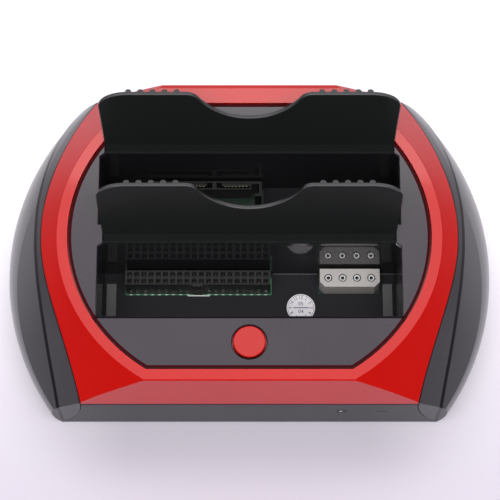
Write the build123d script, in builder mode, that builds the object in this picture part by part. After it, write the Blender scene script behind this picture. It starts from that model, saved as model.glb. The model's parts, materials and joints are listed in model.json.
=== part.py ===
"""Twin-slot hard drive docking station: a moulded desk housing with two drive slots,
hinged slot covers, a drive socket board and a sprung backup button. Millimetres, the
origin on the table under the middle of the body, +Z up, the front towards -Y."""

import math
import os

from build123d import *

quarter_turn = 90.0

# Housing
side_spread = 19.8
front_margin = 25.6
rear_margin = 24.9
foot_height = 2.0
wall = 2.2
seam_gap = 0.1
overrun = 2.0
bulge_centre_y = -4.0
bulge_waist_height = 14.0
bulge_dome_rise = 53.0
bulge_tuck = 2.0
crease_step = 0.5
crease_width = 2.2
crease_front_width = 8.5
crease_rear_width = 7.0

# Red ring
ring_lip_rise = 0.4
ring_side_margin = 14.4
ring_lip_width = 4.3
ring_lip_depth = 4.1
ring_flare = 0.85
ring_edge = 0.35
ring_flange = 6.0
ring_skin = 3.2
ring_front_inset = 3.2
ring_rear_inset = 1.6
ring_rear_chamfer = 1.0
ring_port_gap = 3.1

# Front strip
strip_height = 28.0
strip_top_side = 28.0
strip_foot_side = 20.0
strip_end_bow = 2.0
strip_edge = 0.3
lens_x = 32.2
lens_height = 18.6
lens_radius = 1.5
lens_depth = 4.0
dot_x = 46.2
dot_height = 18.9
dot_pitch = 1.4
dot_radius = 0.3
dot_sag = 0.25

# Top panel
panel_corner_margin = 0.91
panel_flat_inset = 7.5
panel_edge = 0.25
panel_thickness = 2.4
panel_gap = 0.4
panel_ledge = 1.6

# Drive slots
slot_width = 103.6
slot_pitch = 32.7
slot_depth = 35.0
slot_front_to_hinge = 26.8
hinge_drop = 1.4
hinge_to_rear_edge = 2.3
neck_step = 1.7
neck_set = 0.8
neck_run = 1.2
well_wall = 1.5
well_floor = 1.5
well_rear_drop = 0.8
well_rear_set = 0.2
well_draft = 1.2
well_draft_drop = 4.0
well_fit = 0.3

# Slot covers
cover_tip_gap = 0.3
cover_thickness = 1.6
cover_inner_set = 0.2
cover_lean = 27.0
cover_side_fit = 0.4
cover_foot_run = 0.9
cover_edge = 0.35
cover_corner_width = 10.0
cover_corner_depth = 5.8
notch_depth = 10.5
notch_radius = 22.0
notch_shoulder_radius = 5.0
rib_count = 5
rib_pitch = 4.1
rib_first_x = 24.6
rib_radius = 1.0
rib_length = 6.5
pivot_radius = 0.7
pivot_fit = 0.06
pivot_reach = 1.1
pivot_end_fit = 0.2

# Backup button
button_radius = 5.45
button_hole_radius = 5.95
button_proud = 0.6
button_thickness = 3.4
button_flange_radius = 6.3
button_flange_thickness = 1.4
button_flange_drop = 0.1
button_travel = 0.8
button_stem_radius = 1.9
collar_wall = 0.9
collar_depth = 5.6
collar_fit = 0.1
switch_size = 6.0
switch_height = 4.0
switch_plunger_radius = 1.7
switch_plunger_height = 1.2
switch_bore_fit = 0.08
switch_bore_spare = 0.4
button_board_width = 26.0
button_board_depth = 12.0
button_post_radius = 2.2
button_post_pitch = 20.0

# Boards
under_board_room = 7.9
board_thickness = 1.6
board_side_margin = 32.0
board_front_margin = 10.0
board_rear_fit = 0.4
standoff_radius = 3.2
standoff_side_set = 5.0
standoff_front_set = 8.5
standoff_rear_set = 5.4
screw_radius = 1.4
screw_head_radius = 2.6
screw_head_height = 1.8
screw_fit = 0.1

# Parallel drive socket
pin_pitch = 2.54
ide_columns = 20
ide_rows = 2
ide_x = -18.3
ide_set = 5.3
ide_length = 51.4
ide_width = 5.2
ide_rise = 9.2
ide_hole = 0.95
ide_hole_depth = 3.7
ide_mouth_edge = 0.4
ide_key_width = 3.5
ide_key_depth = 0.7

# Drive power socket
power_x = 35.6
power_set = 4.9
power_length = 21.2
power_width = 6.6
power_rise = 7.6
power_pitch = 5.08
power_count = 4
power_corner = 1.8
tube_outer_radius = 1.05
tube_bore_radius = 0.65
tube_well_radius = 1.45
tube_drop = 0.3
tube_depth = 5.0

# Serial drive socket
sata_right_x = 0.7
sata_set = 2.95
sata_width = 3.1
sata_rise = 8.0
sata_wall = 0.5
sata_key_wall = 1.5
sata_cavity_depth = 5.4
sata_key_gap = 1.9
sata_tongue = 1.0
sata_contact_pitch = 1.27
sata_contact_width = 0.7
sata_contact_skin = 0.12
sata_signal_contacts = 7
sata_power_contacts = 15
guide_length = 3.7
guide_reach = 2.5
guide_hook = 2.4
guide_thickness = 0.9

# Windows in the well floors round the sockets
window_margin = 0.8
window_front_margin = 1.2

# Pads and seal on the well floor
pad_length = 3.4
pad_depth = 18.0
pad_thickness = 1.0
pad_side_gap = 0.8
seal_x = 18.35
seal_set = 13.0
seal_radius = 5.05
seal_thickness = 0.15

# Base tray
base_floor = 2.0
base_rim_height = 4.0
foot_radius = 6.0
foot_recess = 0.8
foot_side_margin = 32.0
foot_end_margin = 17.0
post_radius = 3.2
post_x = 24.0
post_set = 0.8
post_board_fit = 0.5

# Rear ports
port_recess = 3.2
port_plate_thickness = 2.0
jack_x = -36.0
jack_width = 9.0
jack_body_height = 11.0
jack_depth = 13.0
jack_bore_radius = 3.1
jack_bore_depth = 9.0
jack_pin_radius = 1.05
jack_nose_radius = 4.2
jack_proud = 0.6
rocker_x = -16.0
rocker_board_fit = 0.2
rocker_width = 12.6
rocker_frame_height = 19.0
rocker_frame_depth = 9.5
rocker_rim = 1.3
rocker_rim_thickness = 1.0
rocker_cap_width = 8.6
rocker_cap_height = 14.0
rocker_throw = 8.0
rocker_depth = 4.4
rocker_swell = 1.0
rocker_side_fit = 0.3
rocker_end_fit = 1.0
rocker_cavity_depth = 7.0
rocker_axle_drop = 2.6
rocker_axle_radius = 1.0
rocker_axle_fit = 0.05
rocker_axle_reach = 1.2
rocker_foot_share = 0.7
blade_width = 4.8
blade_thickness = 0.8
blade_length = 4.5
blade_pitch = 6.0
usb_x = 9.0
usb_width = 12.0
usb_body_height = 11.0
usb_depth = 14.0
usb_wall = 0.6
usb_cavity_depth = 8.9
usb_corner = 2.4
usb_tongue_width = 5.6
usb_tongue_height = 3.2
esata_x = 31.0
esata_width = 15.0
esata_body_height = 6.6
esata_depth = 11.0
esata_wall = 0.8
esata_cavity_depth = 7.5
esata_tongue_width = 10.2
esata_tongue_height = 1.3
port_fit = 0.15
port_proud = 0.5

# Board components
chip_size = 14.0
chip_height = 1.6
chip_x = -30.0
chip_y = -24.0
bridge_size = 10.0
bridge_x = 22.0
bridge_y = 12.0
crystal_length = 11.0
crystal_width = 4.5
crystal_height = 3.4
crystal_x = 4.0
crystal_y = -24.0
capacitor_radius = 3.2
capacitor_height = 7.0
capacitor_pitch = 9.0
capacitor_count = 3
capacitor_x = -7.0
led_radius = 2.4
led_holder_width = 6.0
led_holder_depth = 4.0
led_gap = 0.3

# Worked out from the sizes above
half_slot = slot_width / 2
ring_half_length = half_slot + ring_side_margin
half_width = ring_half_length + side_spread
half_depth = (front_margin + slot_front_to_hinge + slot_pitch + rear_margin) / 2
front_y = -half_depth
rear_y = half_depth
base_z = foot_height
parting_z = base_z + base_rim_height
strip_top_z = base_z + strip_height
board_under_z = base_z + base_floor + under_board_room
board_top_z = board_under_z + board_thickness
slot_floor_z = board_top_z + well_floor
panel_height = slot_floor_z + slot_depth
panel_under_z = panel_height - panel_thickness
ledge_under_z = panel_under_z - wall
ring_lip_height = panel_height + ring_lip_rise
rocker_z = board_top_z + rocker_board_fit + rocker_rim + rocker_frame_height / 2
ring_rear_z = rocker_z + rocker_frame_height / 2 + rocker_rim + ring_port_gap
lip_front_y = front_y + ring_front_inset
lip_rear_y = rear_y - ring_rear_inset
far = 2 * half_width
hinge_z = panel_height - hinge_drop
slot_front_y = front_y + front_margin
front_hinge_y = slot_front_y + slot_front_to_hinge
rear_hinge_y = front_hinge_y + slot_pitch
half_neck = half_slot - neck_step
panel_flat_y = half_depth - panel_flat_inset
panel_half_length = ring_half_length - ring_lip_width
corner_share = (half_neck + panel_corner_margin) / panel_half_length
panel_half_depth = (rear_hinge_y + hinge_to_rear_edge) / math.sqrt(1 - corner_share**2)
ring_half_depth = panel_half_depth + ring_lip_depth
strip_top_half = half_width - strip_top_side
strip_foot_half = half_width - strip_foot_side
wells_front_y = slot_front_y - well_wall - well_fit
wells_rear_y = rear_hinge_y + well_rear_set + well_wall + well_fit
button_y = (slot_front_y - panel_flat_y) / 2
plate_outer_y = rear_y - port_recess
plate_inner_y = plate_outer_y - port_plate_thickness
board_half_width = half_width - board_side_margin
board_front_y = front_y + board_front_margin
board_rear_y = plate_inner_y - board_rear_fit

os.makedirs("parts", exist_ok=True)
kept = []


def keep(part, name):
    """Labels a finished piece and writes it to its own file."""
    part.label = name
    export_step(part, f"parts/{name}.step")
    kept.append(name)


def flare_solid(drop=0.0):
    """The cone that the ring's lip flares into, lowered by drop, with an eased edge."""
    spread = (ring_lip_height - ring_edge) * ring_flare
    with BuildPart() as cone:
        with BuildSketch(Plane.XY.offset(ring_lip_height - drop)):
            Ellipse(ring_half_length - ring_edge, ring_half_depth - ring_edge)
        with BuildSketch(Plane.XY.offset(ring_lip_height - ring_edge - drop)):
            Ellipse(ring_half_length, ring_half_depth)
        with BuildSketch(Plane.XY.offset(-drop)):
            Ellipse(ring_half_length + spread, ring_half_depth + spread)
        loft(ruled=True)
    return cone.part


def profile_block(inset=0.0):
    """The body's side view, from the upright strip and sloping text face to the rear."""
    top = ring_lip_height - inset
    lean = ring_front_inset / (ring_lip_height - strip_top_z)
    with BuildPart() as block:
        with BuildSketch(Plane.YZ.offset(-far / 2)):
            with BuildLine():
                Polyline(
                    (front_y + inset, -overrun),
                    (front_y + inset, strip_top_z),
                    (lip_front_y + inset - ring_edge * lean, top - ring_edge),
                    (lip_front_y + inset + ring_edge, top),
                    (lip_rear_y - inset, top),
                    (rear_y - inset, top - ring_rear_chamfer),
                    (rear_y - inset, -overrun),
                    close=True,
                )
            make_face()
        extrude(amount=far)
    return block.part


def plan_block(front_x, front_mid_x, mid_x, rear_mid_x, rear_x):
    """Everything inside a curve in plan that runs down each side of the body."""
    reach = half_depth + overrun
    with BuildPart() as block:
        with BuildSketch():
            with BuildLine():
                Line((0, -reach), (front_x, -reach))
                Spline(
                    (front_x, -reach),
                    (front_mid_x, -reach / 2),
                    (mid_x, 0),
                    (rear_mid_x, reach / 2),
                    (rear_x, reach),
                )
                Line((rear_x, reach), (0, reach))
                mirror(about=Plane.YZ)
            make_face()
        extrude(amount=ring_lip_height + overrun)
    return block.part


seam_front_share = 0.667
seam_front_mid_share = 0.762
seam_mid_share = 0.837
seam_rear_mid_share = 0.782
seam_rear_share = 0.615


def seam_block(inset=0.0):
    """Everything between the two seams, where the red ring meets the side panels."""
    return plan_block(
        half_width * seam_front_share - inset,
        half_width * seam_front_mid_share - inset,
        half_width * seam_mid_share - inset,
        half_width * seam_rear_mid_share - inset,
        half_width * seam_rear_share - inset,
    )


def crease_block():
    """Everything between the styling creases of the side panels."""
    return plan_block(
        half_width * seam_front_share + crease_front_width,
        half_width * seam_front_mid_share + (crease_width + crease_front_width) / 2,
        half_width * seam_mid_share + crease_width,
        half_width * seam_rear_mid_share + (crease_width + crease_rear_width) / 2,
        half_width * seam_rear_share + crease_rear_width,
    )


def bulge_solid(inset=0.0, low=base_z):
    """The turned bowl that the rounded sides are cut from."""
    radius = half_width - inset
    foot = radius - bulge_tuck
    rise = bulge_dome_rise - inset
    mid = (low + bulge_waist_height) / 2
    with BuildPart() as bowl:
        with BuildSketch(Plane.XZ.offset(-bulge_centre_y)):
            with BuildLine():
                Line((0, low), (foot, low))
                ThreePointArc(
                    (foot, low),
                    (radius - bulge_tuck / 4, mid),
                    (radius, bulge_waist_height),
                )
                EllipticalCenterArc(
                    (0, bulge_waist_height), radius, rise, 0, arc_size=quarter_turn
                )
                Line((0, bulge_waist_height + rise), (0, low))
            make_face()
        revolve(axis=Axis((0, bulge_centre_y, 0), (0, 0, 1)))
    return bowl.part


def slab(low, high, front=-far, rear=far):
    """A wide block between two heights, and between two depths."""
    with BuildPart() as block:
        with BuildSketch(Plane.XY.offset(low)):
            with Locations((0, (front + rear) / 2)):
                Rectangle(2 * far, rear - front)
        extrude(amount=high - low)
    return block.part


def strip_face(spread=0.0):
    """The front strip's outline seen from the front, with ends that bow outwards."""
    top = strip_top_half + spread
    foot = strip_foot_half + spread
    middle = (top + foot) / 2 - strip_end_bow
    middle_z = (base_z + strip_top_z) / 2
    with BuildSketch() as face:
        with BuildLine():
            Line((-top, strip_top_z), (top, strip_top_z))
            ThreePointArc((top, strip_top_z), (middle, middle_z), (foot, base_z))
            Line((foot, base_z), (-foot, base_z))
            ThreePointArc((-foot, base_z), (-middle, middle_z), (-top, strip_top_z))
        make_face()
    return face.sketch


def strip_block(spread=0.0):
    """The room that the front strip takes, a little larger by spread."""
    with BuildPart() as block:
        with BuildSketch(Plane.XZ.offset(-front_y - wall)):
            add(strip_face(spread))
        extrude(amount=wall + overrun)
    return block.part


def panel_outline(spread=0.0):
    """The top panel's outline, an oval cut flat at the front and rear."""
    flat = 2 * (panel_flat_y + spread)
    with BuildSketch() as outline:
        Ellipse(panel_half_length + spread, panel_half_depth + spread)
        Rectangle(2 * far, flat, mode=Mode.INTERSECT)
    return outline.sketch


def slot_outline(hinge_y):
    """A slot's mouth in the panel, narrowed behind its corners for the hinge."""
    front = hinge_y - slot_front_to_hinge
    neck = hinge_y - neck_set
    rear = hinge_y + hinge_to_rear_edge
    with BuildSketch() as outline:
        with BuildLine():
            Polyline(
                (-half_slot, front),
                (half_slot, front),
                (half_slot, neck - neck_run),
                (half_neck, neck),
                (half_neck, rear),
                (-half_neck, rear),
                (-half_neck, neck),
                (-half_slot, neck - neck_run),
                close=True,
            )
        make_face()
    return outline.sketch


# Red ring, with its lip, sloping text face and flared shoulders
with BuildPart() as ring_skin_room:
    add(profile_block(wall))
    add(flare_solid(ring_skin), mode=Mode.INTERSECT)
    add(seam_block(wall), mode=Mode.INTERSECT)
    add(slab(-overrun, ledge_under_z, rear=plate_outer_y), mode=Mode.INTERSECT)

with BuildPart() as ring_flange_room:
    add(profile_block(wall))
    add(flare_solid(ring_skin + ring_flange), mode=Mode.INTERSECT)

with BuildPart() as wells_room:
    with BuildSketch():
        with Locations((0, (wells_front_y + wells_rear_y) / 2)):
            Rectangle(
                slot_width + 2 * well_wall + 2 * well_fit, wells_rear_y - wells_front_y
            )
    extrude(amount=panel_under_z)

with BuildPart() as ring_rear_room:
    add(slab(-overrun, ring_rear_z, plate_inner_y, far))
    add(flare_solid(ring_skin), mode=Mode.INTERSECT)

with BuildPart() as red_ring_shell:
    add(profile_block())
    add(flare_solid(), mode=Mode.INTERSECT)
    add(seam_block(), mode=Mode.INTERSECT)
    add(slab(strip_top_z, ring_lip_height + overrun), mode=Mode.INTERSECT)
    add(ring_skin_room.part, mode=Mode.SUBTRACT)
    add(ring_flange_room.part, mode=Mode.SUBTRACT)
    add(wells_room.part, mode=Mode.SUBTRACT)
    add(ring_rear_room.part, mode=Mode.SUBTRACT)
    with BuildSketch(Plane.XY.offset(panel_under_z)):
        add(panel_outline(panel_gap))
    extrude(amount=ring_lip_height, mode=Mode.SUBTRACT)
    with BuildSketch(Plane.XY):
        add(panel_outline(-panel_ledge))
    extrude(amount=ring_lip_height, mode=Mode.SUBTRACT)
keep(red_ring_shell.part, "red_ring_shell")


# Side panels, swelling out from the seam past a styling crease
with BuildPart() as side_band:
    add(bulge_solid(-crease_step))
    add(flare_solid(), mode=Mode.INTERSECT)
    add(profile_block(), mode=Mode.INTERSECT)
    add(crease_block(), mode=Mode.INTERSECT)

with BuildPart() as side_swell:
    add(bulge_solid())
    add(flare_solid(crease_step), mode=Mode.INTERSECT)
    add(profile_block(), mode=Mode.INTERSECT)

with BuildPart() as side_return:
    add(seam_block(-wall))
    add(slab(-overrun, panel_height, plate_inner_y, far), mode=Mode.INTERSECT)

with BuildPart() as side_room:
    add(bulge_solid(wall + crease_step, low=-overrun))
    add(flare_solid(ring_skin + crease_step), mode=Mode.INTERSECT)
    add(profile_block(wall), mode=Mode.INTERSECT)
    add(side_return.part, mode=Mode.SUBTRACT)

with BuildPart() as right_side_panel:
    add(side_swell.part)
    add(side_band.part)
    add(seam_block(-seam_gap), mode=Mode.SUBTRACT)
    add(side_room.part, mode=Mode.SUBTRACT)
    add(strip_block(seam_gap), mode=Mode.SUBTRACT)
    add(slab(-overrun, parting_z), mode=Mode.SUBTRACT)
    split(bisect_by=Plane.YZ, keep=Keep.TOP)
keep(right_side_panel.part, "right_side_panel")

with BuildPart() as left_side_panel:
    mirror(right_side_panel.part, about=Plane.YZ)
keep(left_side_panel.part, "left_side_panel")


# Front strip, with the lens hole and the row of signal dots
with BuildPart() as front_strip:
    with BuildSketch(Plane.XZ.offset(-front_y - wall)):
        add(strip_face())
    extrude(amount=wall)
    fillet(front_strip.faces().sort_by(Axis.Y)[0].edges(), strip_edge)
    with BuildSketch(Plane.XZ.offset(-front_y)):
        with Locations((lens_x, lens_height)):
            Circle(lens_radius + port_fit / 2)
        with Locations(
            (dot_x - dot_pitch, dot_height - dot_sag),
            (dot_x, dot_height),
            (dot_x + dot_pitch, dot_height - dot_sag),
        ):
            Circle(dot_radius)
    extrude(amount=-wall, mode=Mode.SUBTRACT)
keep(front_strip.part, "front_strip")

with BuildPart() as status_lens:
    with BuildSketch(Plane.XZ.offset(-front_y)):
        with Locations((lens_x, lens_height)):
            Circle(lens_radius)
    extrude(amount=-lens_depth)
    with BuildSketch(Plane.XZ.offset(-front_y - wall)):
        with Locations((lens_x, lens_height)):
            Circle(led_radius)
    extrude(amount=wall - lens_depth)
keep(status_lens.part, "status_lens")

with BuildPart() as status_led:
    with BuildSketch(Plane.XY.offset(board_top_z)):
        with Locations((lens_x, board_front_y + led_holder_depth / 2)):
            Rectangle(led_holder_width, led_holder_depth)
    extrude(amount=lens_height + led_radius - board_top_z)
    with BuildSketch(Plane.XZ.offset(-board_front_y - led_holder_depth / 2)):
        with Locations((lens_x, lens_height)):
            Circle(led_radius)
    extrude(amount=board_front_y + led_holder_depth / 2 - front_y - lens_depth - led_gap)
keep(status_led.part, "status_led")


# Base tray, with board standoffs, screw sockets and foot recesses
with BuildPart() as base_room:
    add(bulge_solid(wall, low=base_z + base_floor))
    add(profile_block(wall), mode=Mode.INTERSECT)
    add(slab(base_z + base_floor, panel_height, rear=plate_inner_y), mode=Mode.INTERSECT)

standoff_x = board_half_width - standoff_side_set
standoff_places = [
    (side * standoff_x, y)
    for side in (-1, 1)
    for y in (board_front_y + standoff_front_set, board_rear_y - standoff_rear_set)
]
post_places = [
    (side * post_x, y)
    for side in (-1, 1)
    for y in (button_y, wells_rear_y + post_set + post_radius)
]
foot_x = half_width - foot_side_margin
foot_y = half_depth - foot_end_margin
foot_places = [(side * foot_x, end * foot_y) for side in (-1, 1) for end in (-1, 1)]

with BuildPart() as base_tray:
    add(bulge_solid())
    add(profile_block(), mode=Mode.INTERSECT)
    add(slab(base_z, parting_z), mode=Mode.INTERSECT)
    add(base_room.part, mode=Mode.SUBTRACT)
    add(strip_block(seam_gap), mode=Mode.SUBTRACT)
    with BuildSketch(Plane.XY.offset(base_z)):
        with Locations(*standoff_places):
            Circle(standoff_radius)
    extrude(amount=board_under_z - base_z)
    with BuildSketch(Plane.XY.offset(base_z)):
        with Locations(*post_places):
            Circle(post_radius)
    extrude(amount=base_floor + screw_head_height)
    with BuildSketch(Plane.XY.offset(board_under_z)):
        with Locations(*standoff_places):
            Circle(screw_radius)
    extrude(amount=parting_z - board_under_z, mode=Mode.SUBTRACT)
    with BuildSketch(Plane.XY.offset(base_z)):
        with Locations(*post_places):
            Circle(screw_radius + screw_fit)
    extrude(amount=base_floor + screw_head_height, mode=Mode.SUBTRACT)
    with BuildSketch(Plane.XY.offset(base_z)):
        with Locations(*post_places):
            Circle(screw_head_radius + screw_fit)
    extrude(amount=screw_head_height, mode=Mode.SUBTRACT)
    with BuildSketch(Plane.XY.offset(base_z)):
        with Locations(*foot_places):
            Circle(foot_radius)
    extrude(amount=foot_recess, mode=Mode.SUBTRACT)
keep(base_tray.part, "base_tray")

with BuildPart() as rubber_feet:
    with BuildSketch():
        with Locations(*foot_places):
            Circle(foot_radius)
    extrude(amount=foot_height + foot_recess)
    chamfer(rubber_feet.faces().filter_by(Axis.Z).group_by(Axis.Z)[0].edges(), foot_recess / 2)
keep(rubber_feet.part, "rubber_feet")


def screw_group(places, head_z, up, length):
    """Screws whose heads seat at head_z, with their shanks pointing up or down."""
    with BuildPart() as group:
        with BuildSketch(Plane.XY.offset(head_z)):
            with Locations(*places):
                Circle(screw_radius)
        extrude(amount=up * length)
        with BuildSketch(Plane.XY.offset(head_z)):
            with Locations(*places):
                Circle(screw_head_radius)
        extrude(amount=-up * screw_head_height)
        with BuildSketch(Plane.XY.offset(head_z - up * screw_head_height)):
            with Locations(*places):
                Circle(screw_head_radius / 3)
        extrude(amount=up * screw_head_height / 2, mode=Mode.SUBTRACT)
    return group.part


case_screw_length = 10.0
board_screw_length = 6.0
keep(screw_group(post_places, base_z + screw_head_height, 1, case_screw_length), "case_screws")
keep(screw_group(standoff_places, board_top_z, -1, board_screw_length), "board_screws")


# Top panel, with the slot mouths, the button collar, its board posts and the case posts
button_places = [(-button_post_pitch / 2, button_y), (button_post_pitch / 2, button_y)]
button_top_z = panel_height + button_proud
button_under_z = button_top_z - button_thickness
flange_top_z = panel_under_z - button_flange_drop
stem_end_z = button_under_z - button_flange_thickness - button_travel
switch_top_z = stem_end_z - switch_plunger_height
button_board_z = switch_top_z - switch_height
post_foot_z = base_z + base_floor + screw_head_height
collar_bore_radius = button_flange_radius + collar_fit

with BuildPart() as top_panel:
    with BuildSketch(Plane.XY.offset(panel_under_z)):
        add(panel_outline())
    extrude(amount=panel_thickness)
    with BuildSketch(Plane.XY.offset(panel_under_z)):
        with Locations(*post_places):
            Circle(post_radius)
    extrude(amount=post_foot_z - panel_under_z)
    with BuildSketch(Plane.XY.offset(panel_under_z)):
        with Locations(*button_places):
            Circle(button_post_radius)
    extrude(amount=button_board_z - panel_under_z)
    with BuildSketch(Plane.XY.offset(panel_under_z)):
        with Locations((0, button_y)):
            Circle(collar_bore_radius + collar_wall)
    extrude(amount=-collar_depth)
    add(wells_room.part, mode=Mode.SUBTRACT)
    with BuildSketch(Plane.XY.offset(panel_under_z)):
        with Locations((0, button_y)):
            Circle(collar_bore_radius)
    extrude(amount=-collar_depth, mode=Mode.SUBTRACT)
    with BuildSketch(Plane.XY.offset(panel_under_z)):
        with Locations((0, button_y)):
            Circle(button_hole_radius)
    extrude(amount=panel_thickness, mode=Mode.SUBTRACT)
    with BuildSketch(Plane.XY.offset(panel_under_z)):
        add(slot_outline(front_hinge_y))
        add(slot_outline(rear_hinge_y))
    extrude(amount=panel_thickness, mode=Mode.SUBTRACT)
    chamfer(top_panel.faces().sort_by(Axis.Z)[-1].edges(), panel_edge)
    with BuildSketch(Plane.YZ):
        with Locations((front_hinge_y, hinge_z), (rear_hinge_y, hinge_z)):
            Circle(pivot_radius + pivot_fit)
    extrude(amount=half_neck + pivot_reach + pivot_end_fit, both=True, mode=Mode.SUBTRACT)
    with BuildSketch(Plane.XY.offset(post_foot_z)):
        with Locations(*post_places):
            Circle(screw_radius)
    extrude(amount=case_screw_length, mode=Mode.SUBTRACT)
    with BuildSketch(Plane.XY.offset(button_board_z)):
        with Locations(*button_places):
            Circle(screw_radius / 2)
    extrude(amount=switch_height, mode=Mode.SUBTRACT)
keep(top_panel.part, "top_panel")


# Drive wells, open at the top, with windows where the sockets come through
def well_part(hinge_y, windows):
    """A well for one drive, with its rear wall kept clear of the slot cover's foot."""
    front = hinge_y - slot_front_to_hinge
    rear = hinge_y + well_rear_set
    middle = (front + rear) / 2
    with BuildPart() as well:
        with BuildSketch(Plane.XY.offset(board_top_z)):
            with Locations((0, middle)):
                Rectangle(slot_width + 2 * well_wall, rear - front + 2 * well_wall)
        extrude(amount=panel_under_z - board_top_z)
        with BuildSketch(Plane.YZ):
            with BuildLine():
                Polyline(
                    (front, slot_floor_z),
                    (rear - well_draft, slot_floor_z),
                    (rear, panel_under_z - well_draft_drop),
                    (rear, panel_under_z),
                    (front, panel_under_z),
                    close=True,
                )
            make_face()
        extrude(amount=half_slot, both=True, mode=Mode.SUBTRACT)
        with BuildSketch(Plane.XY.offset(panel_under_z - well_rear_drop)):
            with Locations((0, rear + well_wall / 2)):
                Rectangle(slot_width, well_wall)
        extrude(amount=slot_depth, mode=Mode.SUBTRACT)
        with BuildSketch(Plane.XY.offset(board_top_z)):
            for low_x, high_x, low_y, high_y in windows:
                with Locations(((low_x + high_x) / 2, (low_y + high_y) / 2)):
                    Rectangle(high_x - low_x, high_y - low_y)
        extrude(amount=well_floor, mode=Mode.SUBTRACT)
    return well.part


ide_y = front_hinge_y - ide_set
power_y = front_hinge_y - power_set
sata_y = rear_hinge_y - sata_set
sata_left_x = (
    sata_right_x
    - (sata_power_contacts + sata_signal_contacts) * sata_contact_pitch
    - 2 * (sata_wall + sata_key_gap)
    - 2 * sata_contact_pitch
    - sata_key_wall
)
ide_window = (
    ide_x - ide_length / 2 - window_margin,
    ide_x + ide_length / 2 + window_margin,
    ide_y - ide_width / 2 - window_front_margin,
    ide_y + ide_width / 2 + window_margin,
)
power_window = (
    power_x - power_length / 2 - window_margin / 2,
    power_x + power_length / 2 + window_margin / 2,
    power_y - power_width / 2 - window_margin / 2,
    power_y + power_width / 2 + window_margin / 2,
)
sata_window = (
    sata_left_x - window_margin,
    sata_right_x + guide_length + window_margin,
    sata_y - sata_width / 2 - guide_reach - window_margin,
    sata_y + sata_width / 2 + window_margin / 2,
)
keep(well_part(front_hinge_y, [ide_window, power_window]), "front_drive_well")
keep(well_part(rear_hinge_y, [sata_window]), "rear_drive_well")


def pad_places(hinge_y):
    """The two rest pads at the ends of a well's floor."""
    x = slot_width / 2 - pad_side_gap - pad_length / 2
    y = hinge_y - slot_front_to_hinge / 2 - pad_side_gap
    return [(-x, y), (x, y)]


with BuildPart() as drive_rest_pads:
    with BuildSketch(Plane.XY.offset(slot_floor_z)):
        with Locations(*pad_places(front_hinge_y), *pad_places(rear_hinge_y)):
            Rectangle(pad_length, pad_depth)
    extrude(amount=pad_thickness)
keep(drive_rest_pads.part, "drive_rest_pads")

with BuildPart() as date_seal:
    with BuildSketch(Plane.XY.offset(slot_floor_z)):
        with Locations((seal_x, slot_front_y + seal_set)):
            Circle(seal_radius)
    extrude(amount=seal_thickness)
keep(date_seal.part, "date_seal")


# Slot covers, standing open behind each slot, with finger notch, ribs and pivots
def cover_plane(hinge_y):
    """The cover's own plane: X across, Y from the pivot to the tip, Z out of its face."""
    lean = math.radians(cover_lean)
    return Plane(
        origin=(0, hinge_y, hinge_z),
        x_dir=(1, 0, 0),
        z_dir=(0, -math.cos(lean), math.sin(lean)),
    )


def cover_part(hinge_y):
    """One slot cover in its open rest position."""
    plane = cover_plane(hinge_y)
    outer = cover_inner_set - cover_thickness
    foot = half_neck - cover_side_fit
    tip = half_slot - cover_side_fit
    cover_length = slot_front_to_hinge - cover_tip_gap
    corner_y = cover_length - cover_corner_depth
    notch_centre = cover_length - notch_depth + notch_radius
    rib_places = [
        (side * (rib_first_x + index * rib_pitch), cover_length - rib_length)
        for side in (-1, 1)
        for index in range(rib_count)
    ]
    with BuildPart() as cover:
        with BuildSketch(plane.offset(outer)) as face:
            with BuildLine():
                Line((0, -cover_foot_run), (foot, -cover_foot_run))
                Line((foot, -cover_foot_run), (tip, corner_y))
                EllipticalCenterArc(
                    (tip - cover_corner_width, corner_y),
                    cover_corner_width,
                    cover_corner_depth,
                    0,
                    arc_size=quarter_turn,
                )
                Line((tip - cover_corner_width, cover_length), (0, cover_length))
                mirror(about=Plane.YZ)
            make_face()
            with Locations((0, notch_centre)):
                Circle(notch_radius, mode=Mode.SUBTRACT)
            shoulders = face.vertices().group_by(Axis.Y)[-1].sort_by(Axis.X)[1:-1]
            fillet(shoulders, notch_shoulder_radius)
        extrude(amount=cover_thickness)
        chamfer(cover.edges(), cover_edge)
        for x, y in rib_places:
            rib_plane = Plane(
                origin=plane.from_local_coords((x, y, outer)),
                x_dir=(1, 0, 0),
                z_dir=plane.y_dir,
            )
            with BuildSketch(rib_plane):
                Circle(rib_radius)
            extrude(amount=rib_length)
        with BuildSketch(Plane.YZ):
            with Locations((hinge_y, hinge_z)):
                Circle(pivot_radius)
        extrude(amount=half_neck + pivot_reach, both=True)
    return cover.part


keep(cover_part(front_hinge_y), "front_slot_cover")
keep(cover_part(rear_hinge_y), "rear_slot_cover")


# Backup button, its plunger, and the tact switch on its own small board
with BuildPart() as backup_button:
    with BuildSketch(Plane.XY.offset(button_top_z)):
        with Locations((0, button_y)):
            Circle(button_radius)
    extrude(amount=button_under_z - button_top_z)
    with BuildSketch(Plane.XY.offset(flange_top_z)):
        with Locations((0, button_y)):
            Circle(button_flange_radius)
    extrude(amount=-button_flange_thickness)
    with BuildSketch(Plane.XY.offset(button_under_z)):
        with Locations((0, button_y)):
            Circle(button_stem_radius)
    extrude(amount=stem_end_z - button_under_z)
    chamfer(backup_button.faces().sort_by(Axis.Z)[-1].edges(), button_proud / 2)
keep(backup_button.part, "backup_button")

plunger_set = button_travel + switch_bore_spare
with BuildPart() as switch_plunger:
    with BuildSketch(Plane.XY.offset(stem_end_z)):
        with Locations((0, button_y)):
            Circle(switch_plunger_radius)
    extrude(amount=-switch_plunger_height - switch_bore_spare)
keep(switch_plunger.part, "switch_plunger")

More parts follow.
